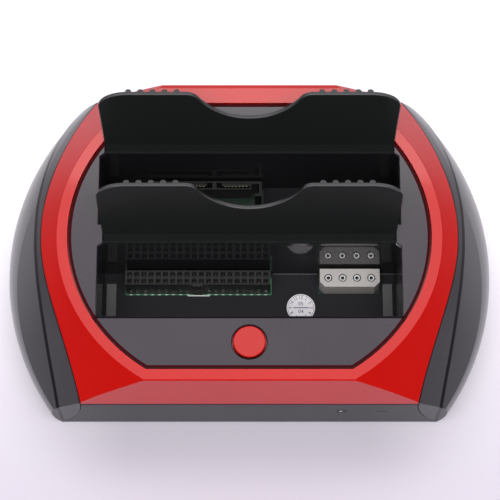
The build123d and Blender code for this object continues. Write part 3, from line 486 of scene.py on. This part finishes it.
def moulded_plastic(
    name, colour, roughness=0.15, haze=0.06, grain=0.0, dust=0.0, specular=0.5, shade=0.06,
    polish=None, polish_roughness=0.06, edge_highlight_colour=None, marks=None, marked_gloss=1.0,
):
    """Moulded plastic with haze, grain, dust, drifting colour, polish, painted edge highlights, or
    marks (some of them painted shade).
    """
    material, tree, shader = plain_material(name)
    surface = placed_group(tree, MOULDING, Roughness=roughness, Haze=haze, Grain=grain)
    rough = surface["Roughness"]
    if grain > 0:
        bump(tree, shader, surface["Height"], min(1.0, grain), GRAIN_DEPTH)
    shader.inputs["Specular IOR Level"].default_value = specular
    finish = dusted(tree, drifting(tree, colour, shade), dust)
    # Painted highlight: the upward edges of upright plates are made paler
    if edge_highlight_colour:
        finish = mixed(tree, placed_group(tree, EDGE_HIGHLIGHT)["Mask"], finish, edge_highlight_colour)
        root = step_node(tree, axes(tree)["Z"], COVER_ROOT + MM, COVER_ROOT)
        rough = math_node(tree, "MAXIMUM", rough, root)
    gloss = marked_gloss
    for mask, mark_colour in marks(tree) if marks else ():
        finish = mixed(tree, mask, finish, mark_colour)
        gloss = math_node(tree, "SUBTRACT", gloss, mask, clamp=True)
    if polish:
        tops, front, walls, rear = polish
        group = placed_group(tree, POLISH, Tops=tops, Front=front, Walls=walls, Rear=rear)
        gloss = group["Mask"]
    if polish or marks:
        tree.links.new(gloss, shader.inputs["Coat Weight"])
        shader.inputs["Coat Roughness"].default_value = polish_roughness
    tree.links.new(rough, shader.inputs["Roughness"])
    tree.links.new(finish, shader.inputs["Base Color"])
    return material


def round_mark(tree, centre, inner, outer):
    """A disc about a point of the front face, one inside and nought outside."""
    flat = tree.nodes.new("ShaderNodeVectorMath")
    flat.operation = "MULTIPLY"
    tree.links.new(coordinates(tree), flat.inputs[0])
    flat.inputs[1].default_value = (1, 0, 1)
    reach = tree.nodes.new("ShaderNodeVectorMath")
    reach.operation = "DISTANCE"
    tree.links.new(flat.outputs[0], reach.inputs[0])
    reach.inputs[1].default_value = centre
    return inverse(tree, step_node(tree, reach.outputs["Value"], inner, outer))


def strip_marks(tree):
    """The front strip's dark upper joint, and dark rims round its lens and three signal dots."""
    top = node_box("front_strip")[1].z
    foot = top - STRIP_JOINT * STRIP_JOINT_FADE_SHARE
    joint = step_node(tree, axes(tree)["Z"], foot, top - STRIP_JOINT)
    places = [(LENS_PLACE, LENS_RIM)]
    for step, sag in ((-1, DOT_SAG), (0, 0.0), (1, DOT_SAG)):
        places.append((DOT_PLACE + Vector((step * DOT_PITCH, 0, -sag)), DOT_RADIUS))
    rims = [
        (round_mark(tree, place, size, size * MARK_FADE_SHARE), RIM_AND_CREASE_SHADOW_BLACK)
        for place, size in places
    ]
    return [(joint, STRIP_JOINT_COLOUR), *rims]


def button_marks(tree):
    """The shade between the button's side and its hole."""
    top = step_node(tree, axes(tree, "Normal")["Z"], *BUTTON_TOP_FACING)
    return [(inverse(tree, top), BUTTON_SHADE)]


def lens_marks(tree):
    """The lens's dark rim and the pale lamp that shows through its middle."""
    rim = round_mark(tree, LENS_PLACE, LENS_DARK, LENS_DARK_EDGE)
    lamp = round_mark(tree, LENS_PLACE - LAMP_SHIFT, LAMP_CORE, LAMP_EDGE)
    return [(rim, LENS_RIM_AND_BAND_SHADE_BLACK), (lamp, LAMP_COLOUR)]


def side_moulding(name, colour):
    """The side panels' gloss black, with a duller band inside the crease darkened by painted
    shade, a painted shadow line in the crease and a dark line along the seam.
    """
    material, tree, shader = plain_material(name)
    surface = placed_group(tree, MOULDING, Roughness=0.3)
    tree.links.new(surface["Roughness"], shader.inputs["Roughness"])
    shader.inputs["Specular IOR Level"].default_value = 0.1
    shader.inputs["Coat Roughness"].default_value = 0.08
    lines = placed_group(tree, SIDE_LINES)
    finish = dusted(tree, drifting(tree, colour, SIDE_DRIFT), SIDE_DUST)
    # Painted shade darkens the band, and a painted shadow darkens the crease line
    finish = mixed(tree, product(tree, lines["Band"], BAND_SHADE), finish, LENS_RIM_AND_BAND_SHADE_BLACK)
    finish = mixed(tree, lines["Crease Shadow And Seam"], finish, RIM_AND_CREASE_SHADOW_BLACK)
    tree.links.new(finish, shader.inputs["Base Color"])
    upright = placed_group(tree, POLISH, Tops=0.0, Front=1.0, Walls=SIDE_FOOT_DULLING)["Mask"]
    swell = product(tree, lines["Swell"], 1 - SWELL_START)
    gloss = product(
        tree,
        inverse(tree, product(tree, lines["Band"], BAND_DULLING)),
        inverse(tree, lines["Crease Shadow And Seam"]),
        math_node(tree, "ADD", SWELL_START, swell),
        inverse(tree, product(tree, upright, SIDE_FRONT_DULLING)),
    )
    tree.links.new(gloss, shader.inputs["Coat Weight"])
    return material


def metal(name, colour, roughness, scale=400.0):
    """Plated or brushed metal with uneven roughness and a slight tarnish."""
    material, tree, shader = plain_material(name)
    tarnished = tuple(c * TARNISH for c in colour)
    finish = mixed(tree, noise_node(tree, scale, FINE_DETAIL), colour, tarnished)
    tree.links.new(finish, shader.inputs["Base Color"])
    shader.inputs["Metallic"].default_value = 1.0
    surface = placed_group(
        tree, MOULDING, Roughness=roughness, Haze=METAL_HAZE, Haze_Scale=scale
    )
    tree.links.new(surface["Roughness"], shader.inputs["Roughness"])
    return material


def circuit_board(name):
    """Green solder mask over a woven base, with copper traces showing faintly through it."""
    material, tree, shader = plain_material(name)
    lanes = math_node(tree, "PINGPONG", axes(tree)["X"], TRACE_WIDTH * 2)
    patches = noise_node(tree, TRACE_BLOCKS, 0.0)
    blocks = math_node(tree, "GREATER_THAN", patches, NOISE_MIDDLE)
    traces = product(tree, math_node(tree, "LESS_THAN", lanes, TRACE_WIDTH), blocks)
    finish = mixed(tree, product(tree, traces, TRACE_SHOW), MASK_GREEN, TRACE_GREEN)
    tree.links.new(finish, shader.inputs["Base Color"])
    surface = placed_group(tree, MOULDING, Roughness=0.28, Haze=0.1)
    tree.links.new(surface["Roughness"], shader.inputs["Roughness"])
    bump(tree, shader, traces, TRACE_BUMP, TRACE_DEPTH)
    return material


BLACK = (0.036, 0.033, 0.039)
FINISHES = {
    "red_gloss": moulded_plastic(
        "red_gloss", (0.53, 0.004, 0.002), roughness=0.3, specular=0.06, polish=(1, 0.6, 0, 0.3)
    ),
    "red_button": moulded_plastic(
        "red_button", (0.50, 0.008, 0.005), roughness=0.3, specular=0.06, polish=(1, 0, 0, 0),
        marks=button_marks,
    ),
    "black_gloss": side_moulding("black_gloss", BLACK),
    "panel_gloss": moulded_plastic(
        "panel_gloss", (0.028, 0.020, 0.030), roughness=0.16, dust=0.03
    ),
    "strip_black": moulded_plastic(
        "strip_black", (0.018, 0.0175, 0.02), roughness=0.4, specular=0.05, polish_roughness=0.16,
        marks=strip_marks, marked_gloss=0.28,
    ),
    # The covers' pale upward edges are a painted highlight
    "cover_gloss": moulded_plastic(
        "cover_gloss", (0.0115, 0.013, 0.013), roughness=0.2, specular=0.12,
        edge_highlight_colour=(0.062, 0.060, 0.064),
    ),
    "well_black": moulded_plastic(
        "well_black", (0.0145, 0.0145, 0.0170), roughness=0.5, specular=0.15, grain=0.1,
        polish=(0, 0.6, 0.5, 0),
    ),
    "black_plastic": moulded_plastic(
        "black_plastic", (0.02, 0.02, 0.022), roughness=0.45, grain=0.5
    ),
    "foot_rubber": moulded_plastic(
        "foot_rubber", (0.025, 0.025, 0.025), roughness=0.8, grain=0.4
    ),
    "pad_grey": moulded_plastic("pad_grey", (0.11, 0.108, 0.112), roughness=0.7, grain=0.6),
    "seal_paper": moulded_plastic(
        "seal_paper", (0.95, 0.91, 0.96), roughness=0.5, grain=0.2, shade=0.02
    ),
    "switch_black": moulded_plastic(
        "switch_black", (0.02, 0.02, 0.02), roughness=0.35, grain=0.2
    ),
    "board_green": circuit_board("board_green"),
    "socket_black": moulded_plastic(
        "socket_black", (0.015, 0.015, 0.016), roughness=0.45, grain=0.2, specular=0.3
    ),
    "socket_ivory": moulded_plastic(
        "socket_ivory", (0.53, 0.50, 0.485), roughness=0.4, grain=0.15, haze=0.1, shade=0.08
    ),
    "jack_black": moulded_plastic("jack_black", (0.02, 0.02, 0.02), roughness=0.4, grain=0.2),
    "chip_black": moulded_plastic(
        "chip_black", (0.025, 0.025, 0.025), roughness=0.5, grain=0.3
    ),
    "capacitor_black": moulded_plastic("capacitor_black", (0.02, 0.02, 0.03), roughness=0.25),
    "lens_clear": moulded_plastic(
        "lens_clear", (0.02, 0.02, 0.023), roughness=0.3, specular=0.05, marks=lens_marks
    ),
    "led_body": moulded_plastic("led_body", (0.7, 0.7, 0.7), roughness=0.15),
    "contact_tin": metal("contact_tin", (0.70, 0.70, 0.70), 0.18),
    "contact_gold": metal("contact_gold", (0.78, 0.68, 0.45), 0.3),
    "port_steel": metal("port_steel", (0.62, 0.62, 0.62), 0.3),
    "screw_steel": metal("screw_steel", (0.5, 0.5, 0.5), 0.35),
    "switch_metal": metal("switch_metal", (0.6, 0.6, 0.6), 0.3),
}
PRINTS = {
    "seal_ink": moulded_plastic("seal_ink", (0.07, 0.05, 0.17), roughness=0.6, shade=0.3),
    # Painted highlight of the board's lit edge
    "edge_highlight_green": moulded_plastic("edge_highlight_green", (0.03, 0.26, 0.12), roughness=0.3, shade=0.3),
    "leaf_bronze": metal("leaf_bronze", (0.30, 0.26, 0.18), 0.4),
    # Painted shadow in the top panel's joint
    "joint_shadow_dark": moulded_plastic(
        "joint_shadow_dark", (0.045, 0.002, 0.003), roughness=0.8, specular=0.05
    ),
    # Painted shade along the front slot's edge
    "slot_edge_shade": moulded_plastic(
        "slot_edge_shade", (0.006, 0.005, 0.007), roughness=0.8, specular=0.05
    ),
    "bead_black": moulded_plastic("bead_black", (0.02, 0.02, 0.022), roughness=0.45),
    "silkscreen": moulded_plastic(
        "silkscreen", (0.72, 0.74, 0.70), roughness=0.55, shade=0.1
    ),
    "solder": metal("solder", (0.70, 0.74, 0.70), 0.35, scale=900.0),
    # Painted shade of the screws' cross recesses
    "recess_shade_black": moulded_plastic(
        "recess_shade_black", (0.01, 0.01, 0.01), roughness=0.5, grain=0.2
    ),
}
NODE_SLOTS = {part["node"]: part["material_slot"] for part in frame["record"]["subparts"]}


def finish_nodes():
    """Gives every CAD node the finish of its slot."""
    for name, node in nodes.items():
        node.data.materials.clear()
        node.data.materials.append(FINISHES[NODE_SLOTS[name]])


# Pieces
def add_piece(name, mesh, material, body="housing"):
    """Links a finished mesh as a piece of the scene that rides on a body."""
    mesh.materials.clear()
    mesh.materials.append(material)
    piece = bpy.data.objects.new(name, mesh)
    bpy.context.scene.collection.objects.link(piece)
    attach(piece, body)


def filled_mesh(name, build):
    """A mesh filled by a function that works on a bmesh."""
    shape = bmesh.new()
    build(shape)
    bmesh.ops.recalc_face_normals(shape, faces=shape.faces)
    mesh = bpy.data.meshes.new(name)
    shape.to_mesh(mesh)
    shape.free()
    return mesh


def box(shape, centre, size, turn=None):
    """Adds a box to a bmesh, turned about its centre if asked."""
    place = Matrix.Translation(centre) @ (turn or Matrix.Identity(4)) @ Matrix.Diagonal((*size, 1))
    bmesh.ops.create_cube(shape, size=1.0, matrix=place)


def evaluated_mesh(holder):
    """The finished mesh of a text or a pattern, whose holder is then removed."""
    bpy.context.scene.collection.objects.link(holder)
    ready = holder.evaluated_get(bpy.context.evaluated_depsgraph_get())
    mesh = bpy.data.meshes.new_from_object(ready)
    bpy.data.objects.remove(holder)
    return mesh


def words_mesh(texts, thickness):
    """One mesh of several short texts, each with its height, place and turn."""
    whole = bmesh.new()
    for text, height, place in texts:
        curve = bpy.data.curves.new("words", "FONT")
        curve.body = text
        curve.size = height
        curve.extrude = thickness / 2
        curve.align_x = "CENTER"
        curve.align_y = "CENTER"
        curve.resolution_u = LETTER_STEPS
        flat = evaluated_mesh(bpy.data.objects.new("words", curve))
        flat.transform(place)
        whole.from_mesh(flat)
        bpy.data.curves.remove(curve)
        bpy.data.meshes.remove(flat)
    mesh = bpy.data.meshes.new("words")
    whole.to_mesh(mesh)
    whole.free()
    return mesh


def make_seal_print():
    """Plain month numbers round the seal, a thin ring outside them and a bar across the middle."""
    low, high = node_box("date_seal")
    centre = (low + high) / 2
    centre.z = high.z + FILM / 2
    radius = (high.x - low.x) / 2
    texts = []
    for month in range(1, 13):
        angle = math.pi / 2 - month * math.tau / 12
        reach = radius * SEAL_NUMBER_SHARE
        place = centre + Vector((math.cos(angle), math.sin(angle), 0)) * reach
        turn = Matrix.Rotation(angle - math.pi / 2, 4, "Z")
        texts.append((str(month), SEAL_NUMBER_HEIGHT, Matrix.Translation(place) @ turn))
    for date, side in (("05", 1), ("04", -1)):
        place = centre + Vector((0, side * SEAL_DATE_HEIGHT * SEAL_DATE_SET_SHARE, 0))
        texts.append((date, SEAL_DATE_HEIGHT, Matrix.Translation(place)))
    add_piece("seal_numbers", words_mesh(texts, FILM), PRINTS["seal_ink"])

    def lines(shape):
        ring = radius * SEAL_RING_SHARE
        inner, outer = [], []
        for index in range(SEAL_RING_STEPS):
            angle = index * math.tau / SEAL_RING_STEPS
            way = Vector((math.cos(angle), math.sin(angle), 0))
            inner.append(shape.verts.new(centre + way * (ring - SEAL_LINE_WIDTH)))
            outer.append(shape.verts.new(centre + way * ring))
        for index in range(SEAL_RING_STEPS):
            after = (index + 1) % SEAL_RING_STEPS
            shape.faces.new((inner[index], outer[index], outer[after], inner[after]))
        raised = bmesh.ops.extrude_face_region(shape, geom=list(shape.faces))["geom"]
        corners = [item for item in raised if isinstance(item, bmesh.types.BMVert)]
        bmesh.ops.translate(shape, vec=(0, 0, FILM / 2), verts=corners)
        box(shape, centre, (radius * SEAL_BAR_SHARE, SEAL_BAR_WIDTH, FILM))

    add_piece("seal_lines", filled_mesh("seal_lines", lines), PRINTS["seal_ink"])


# Geometry Nodes
def pattern_tree(name, wanted):
    """An empty Geometry Nodes tree, its inputs, its output node and its modifier's input names."""
    tree = bpy.data.node_groups.new(name, "GeometryNodeTree")
    identifiers = {}
    for label, kind, value in wanted:
        socket = tree.interface.new_socket(name=label, in_out="INPUT", socket_type=kind)
        if value is not None:
            socket.default_value = value
        identifiers[label] = socket.identifier
    tree.interface.new_socket(
        name="Geometry", in_out="OUTPUT", socket_type="NodeSocketGeometry"
    )
    inputs = tree.nodes.new("NodeGroupInput").outputs
    return tree, inputs, tree.nodes.new("NodeGroupOutput"), identifiers


def finished_pattern(tree, geometry, material, output):
    """Ends a tree in Realize Instances and Set Material."""
    real = tree.nodes.new("GeometryNodeRealizeInstances")
    painted = tree.nodes.new("GeometryNodeSetMaterial")
    tree.links.new(geometry, real.inputs[0])
    tree.links.new(real.outputs[0], painted.inputs["Geometry"])
    painted.inputs["Material"].default_value = material
    tree.links.new(painted.outputs[0], output.inputs[0])


def make_row_tree(name, kind, material):
    """Copies of a small box or disc on a grid: the rows of solder, leaves and contacts."""
    tree, inputs, output, identifiers = pattern_tree(name, (
        ("Columns", "NodeSocketInt", SOCKET_COLUMNS), ("Rows", "NodeSocketInt", SOCKET_ROWS),
        ("Pitch", "NodeSocketFloat", PAD_PITCH), ("Centre", "NodeSocketVector", None),
        ("Size", "NodeSocketVector", None),
    ))
    links = tree.links.new
    grid = tree.nodes.new("GeometryNodeMeshGrid")
    for label, axis in (("Columns", "X"), ("Rows", "Y")):
        gaps = math_node(tree, "SUBTRACT", inputs[label], 1.0)
        links(product(tree, gaps, inputs["Pitch"]), grid.inputs[f"Size {axis}"])
        links(inputs[label], grid.inputs[f"Vertices {axis}"])
    if kind == "disc":
        unit = tree.nodes.new("GeometryNodeMeshCylinder")
        unit.inputs["Vertices"].default_value = DISC_SIDES
        unit.inputs["Radius"].default_value = 0.5
        unit.inputs["Depth"].default_value = 1.0
    else:
        unit = tree.nodes.new("GeometryNodeMeshCube")
    spread = tree.nodes.new("GeometryNodeInstanceOnPoints")
    links(grid.outputs["Mesh"], spread.inputs["Points"])
    links(unit.outputs["Mesh"], spread.inputs["Instance"])
    links(inputs["Size"], spread.inputs["Scale"])
    place = tree.nodes.new("GeometryNodeTransform")
    links(spread.outputs[0], place.inputs["Geometry"])
    links(inputs["Centre"], place.inputs["Translation"])
    finished_pattern(tree, place.outputs[0], material, output)
    return tree, identifiers


def make_row(name, material, kind, columns, rows, pitch, centre, size):
    """A pattern of small boxes or discs, made a plain mesh."""
    tree, identifiers = make_row_tree(name, kind, material)
    holder = bpy.data.objects.new(name, bpy.data.meshes.new(name + "_seed"))
    pattern = holder.modifiers.new("pattern", "NODES")
    pattern.node_group = tree
    for label, value in (
        ("Columns", columns), ("Rows", rows), ("Pitch", pitch), ("Centre", tuple(centre)),
        ("Size", tuple(size)),
    ):
        pattern[identifiers[label]] = value
    mesh = evaluated_mesh(holder)
    mesh.name = name
    add_piece(name, mesh, material)


def make_board_details():
    """What shows round the parallel socket: a painted highlight along the board's edge, solder,
    white mark and spring leaves.
    """
    low, high = node_box("ide_socket")
    board_top = node_box("main_board")[1].z
    middle = (low + high) / 2
    front = low.y + BOARD_FRONT_SET
    board_z = board_top + FILM / 2
    right = high.x + WINDOW_MARGIN / 2

    # A painted highlight along the board's front and right edges
    def rim(shape):
        box(
            shape, Vector((middle.x, front, board_z)),
            (high.x - low.x + WINDOW_MARGIN, EDGE_HIGHLIGHT_WIDTH, FILM),
        )
        box(
            shape, Vector((right, (front + high.y) / 2, board_z)),
            (EDGE_HIGHLIGHT_WIDTH, high.y - front + EDGE_HIGHLIGHT_WIDTH, FILM),
        )

    add_piece("board_edge_highlight", filled_mesh("board_edge_highlight", rim), PRINTS["edge_highlight_green"])
    make_row(
        "socket_solder", PRINTS["solder"], "disc", SOCKET_COLUMNS, 1, PAD_PITCH,
        (middle.x, front, board_top + 2 * FILM), (*SOLDER_SIZE, 3 * FILM),
    )
    floor_z = node_box("date_seal")[0].z
    place = Vector((RIM_MARK_X, low.y - RIM_MARK_SET - RIM_MARK.y / 2, floor_z + FILM / 2))
    mark = filled_mesh("rim_mark", lambda shape: box(shape, place, (*RIM_MARK, FILM)))
    add_piece("rim_mark", mark, PRINTS["silkscreen"])
    rows = Vector((middle.x, middle.y + LEAF_SET, high.z - LEAF_DROP - LEAF_SIZE.z / 2))
    make_row(
        "socket_leaves", PRINTS["leaf_bronze"], "box", SOCKET_COLUMNS, SOCKET_ROWS, PAD_PITCH,
        rows, LEAF_SIZE,
    )


def make_corner_bead():
    """The small bead where the front well's floor meets its rear wall, beside the sockets."""
    floor_z = node_box("date_seal")[0].z
    ide_high = node_box("ide_socket")[1]
    power_low, power_high = node_box("power_socket")
    well_high = node_box("front_drive_well")[1]
    wall_y = well_high.y - WELL_FOOT_SET
    past_ide, past_power = BEAD_CLEARANCE
    spans = (
        (ide_high.x + past_ide, power_low.x - past_power),
        (power_high.x + past_power, well_high.x - WELL_WALL),
    )
    hollow = CORNER_BEAD * BEAD_HOLLOW_SHARE
    profile = ((0, 0), (-CORNER_BEAD, 0), (-hollow, hollow), (0, CORNER_BEAD))

    def bead(shape):
        for span in spans:
            left, right = (
                [shape.verts.new((x, wall_y + y, floor_z + z)) for y, z in profile] for x in span
            )
            for index in range(len(profile)):
                shape.faces.new((left[index - 1], left[index], right[index], right[index - 1]))
            shape.faces.new(left)
            shape.faces.new(right[::-1])

    add_piece("well_corner_bead", filled_mesh("well_corner_bead", bead), PRINTS["bead_black"])


def make_panel_joint():
    """A painted shadow line in the joint round the top panel, and painted shade along the front
    slot's edge.
    """
    corners = [vert.co for vert in nodes["top_panel"].data.vertices]
    top = max(co.z for co in corners)
    flat = [co.xy for co in corners if co.z > top - WELD]
    outline = [flat[index] for index in convex_hull_2d(flat)]
    outline = [
        spot for index, spot in enumerate(outline) if (spot - outline[index - 1]).length > WELD
    ]

    def inward(start, stop):
        along = (stop - start).normalized()
        across = Vector((-along.y, along.x))
        return across if across.dot(start) < 0 else -across

    def joint(shape):
        sections = []
        for index, spot in enumerate(outline):
            before = inward(outline[index - 1], spot)
            after = inward(spot, outline[(index + 1) % len(outline)])
            inner = spot + (before + after) * (JOINT_SHADOW_WIDTH / (1 + before.dot(after)))
            section = ((spot, 0), (inner, 0), (inner, FILM), (spot, FILM))
            sections.append([shape.verts.new((*place, top + lift)) for place, lift in section])
        for index, section in enumerate(sections):
            last = sections[index - 1]
            for edge in range(len(section)):
                shape.faces.new((last[edge - 1], last[edge], section[edge], section[edge - 1]))

    add_piece("panel_joint_shadow", filled_mesh("panel_joint_shadow", joint), PRINTS["joint_shadow_dark"])
    low, high = node_box("front_drive_well")
    centre = Vector((0, low.y + SLOT_INSET - SLOT_SHADOW_WIDTH / 2, top + FILM / 2))
    size = (high.x - low.x - 2 * SLOT_INSET, SLOT_SHADOW_WIDTH, FILM)
    line = filled_mesh("slot_edge_shadow", lambda shape: box(shape, centre, size))
    add_piece("slot_edge_shadow", line, PRINTS["slot_edge_shade"])


def make_rear_contacts():
    """Contact strips on the tongues of the square and flat rear sockets."""
    for name, socket, way, strips in (
        ("usb_contacts_upper", "usb_socket", 1, SQUARE_SOCKET_STRIPS),
        ("usb_contacts_lower", "usb_socket", -1, SQUARE_SOCKET_STRIPS),
        ("esata_contacts", "esata_socket", 1, FLAT_SOCKET_STRIPS),
    ):
        count, pitch, width, depth, height = strips
        low, high = node_box(socket)
        middle = (low + high) / 2
        make_row(
            name, FINISHES["contact_gold"], "box", count, 1, pitch,
            (middle.x, high.y - depth, middle.z + way * (height + FILM)),
            (width, CONTACT_LENGTH, 2 * FILM),
        )


def make_screw_crosses():
    """Painted shade in the shape of the cross recesses of the four case screws under the base."""
    low, high = node_box("case_screws")
    x = (high.x - low.x) / 2 - SCREW_RADIUS
    y = (high.y - low.y) / 2 - SCREW_RADIUS
    middle = (low + high) / 2

    def crosses(shape):
        for side_x in (-1, 1):
            for side_y in (-1, 1):
                centre = Vector(
                    (middle.x + side_x * x, middle.y + side_y * y, low.z - FILM / 2)
                )
                for angle in CROSS_TURNS:
                    turn = Matrix.Rotation(angle, 4, "Z")
                    box(shape, centre, (CROSS_LENGTH, CROSS_WIDTH, FILM), turn)

    mesh = filled_mesh("case_screw_crosses", crosses)
    add_piece("case_screw_crosses", mesh, PRINTS["recess_shade_black"])


# Floor, light and camera
def make_floor():
    """A wide pale floor, white to the camera behind the object, with a painted shadow in front of
    it.
    """
    material = bpy.data.materials.new("floor")
    material.use_nodes = True
    tree = material.node_tree
    tree.nodes.clear()
    output = tree.nodes.new("ShaderNodeOutputMaterial")
    diffuse = tree.nodes.new("ShaderNodeBsdfDiffuse")
    lift = tree.nodes.new("ShaderNodeEmission")
    total = tree.nodes.new("ShaderNodeAddShader")
    place = axes(tree)
    # Painted shadow on the floor in front of the object
    shade = step_node(tree, place["Y"], SHADE_NEAR, SHADE_FAR)
    within = step_node(tree, math_node(tree, "ABSOLUTE", place["X"]), SHADE_EDGE, SHADE_CORE)
    shaded = mixed(tree, product(tree, shade, within), FLOOR_COLOUR, FLOOR_SHADE)
    tree.links.new(shaded, diffuse.inputs["Color"])
    far = step_node(tree, place["Y"], FLOOR_NEAR, FLOOR_FAR)
    path = tree.nodes.new("ShaderNodeLightPath").outputs
    mirrored = math_node(tree, "ADD", path["Is Glossy Ray"], path["Is Transmission Ray"])
    seen = math_node(tree, "ADD", path["Is Camera Ray"], mirrored, clamp=True)
    tree.links.new(product(tree, far, FLOOR_LIFT, seen), lift.inputs["Strength"])
    tree.links.new(diffuse.outputs[0], total.inputs[0])
    tree.links.new(lift.outputs[0], total.inputs[1])
    tree.links.new(total.outputs[0], output.inputs["Surface"])
    shape = bmesh.new()
    bmesh.ops.create_grid(shape, x_segments=1, y_segments=1, size=FLOOR_SIZE / 2)
    mesh = bpy.data.meshes.new("floor")
    shape.to_mesh(mesh)
    shape.free()
    mesh.materials.append(material)
    floor = bpy.data.objects.new("floor", mesh)
    bpy.context.scene.collection.objects.link(floor)


def make_world():
    """Soft light from all round, white to the camera, brighter in gloss behind than in front."""
    world = bpy.data.worlds.new("studio")
    world.use_nodes = True
    tree = world.node_tree
    background = tree.nodes["Background"]
    behind = tree.nodes.new("ShaderNodeMapRange")
    behind.interpolation_type = "SMOOTHSTEP"
    for label, value in (
        ("Value", axes(tree, "Generated")["Y"]), ("From Min", GLOSS_FROM), ("From Max", GLOSS_TO),
        ("To Min", WORLD_FRONT_GLOSS), ("To Max", WORLD_REAR_GLOSS),
    ):
        feed(tree, behind.inputs[label], value)
    path = tree.nodes.new("ShaderNodeLightPath").outputs
    seen = math_node(tree, "ADD", path["Is Camera Ray"], path["Is Transmission Ray"], clamp=True)
    shown = product(tree, seen, 1.0 - WORLD_LEVEL)
    gloss = math_node(tree, "SUBTRACT", behind.outputs["Result"], WORLD_LEVEL)
    shown = math_node(tree, "ADD", shown, product(tree, path["Is Glossy Ray"], gloss))
    tree.links.new(math_node(tree, "ADD", shown, WORLD_LEVEL), background.inputs["Strength"])
    background.inputs["Color"].default_value = (1, 1, 1, 1)
    bpy.context.scene.world = world


def make_softbox(name, place, size, power):
    """A large soft light that looks straight down."""
    data = bpy.data.lights.new(name, "AREA")
    data.shape = "RECTANGLE"
    data.size, data.size_y = size
    data.energy = power
    lamp = bpy.data.objects.new(name, data)
    lamp.location = place
    bpy.context.scene.collection.objects.link(lamp)


def make_camera():
    """The photograph's steep view from the front."""
    data = bpy.data.cameras.new("camera")
    data.sensor_width = SENSOR_WIDTH
    data.lens = FOCAL_PIXELS / FRAME_PIXELS * SENSOR_WIDTH
    data.clip_start = CLIP_START
    camera = bpy.data.objects.new("camera", data)
    camera.location = CAMERA_PLACE
    camera.rotation_euler = (math.pi / 2 - CAMERA_ELEVATION, 0, 0)
    bpy.context.scene.collection.objects.link(camera)
    bpy.context.scene.camera = camera


finish_nodes()
make_seal_print()
make_board_details()
make_corner_bead()
make_panel_joint()
make_rear_contacts()
make_screw_crosses()
make_floor()
make_world()
for lamp in LAMPS:
    make_softbox(*lamp)
make_camera()
bpy.context.scene.view_settings.view_transform = "Standard"
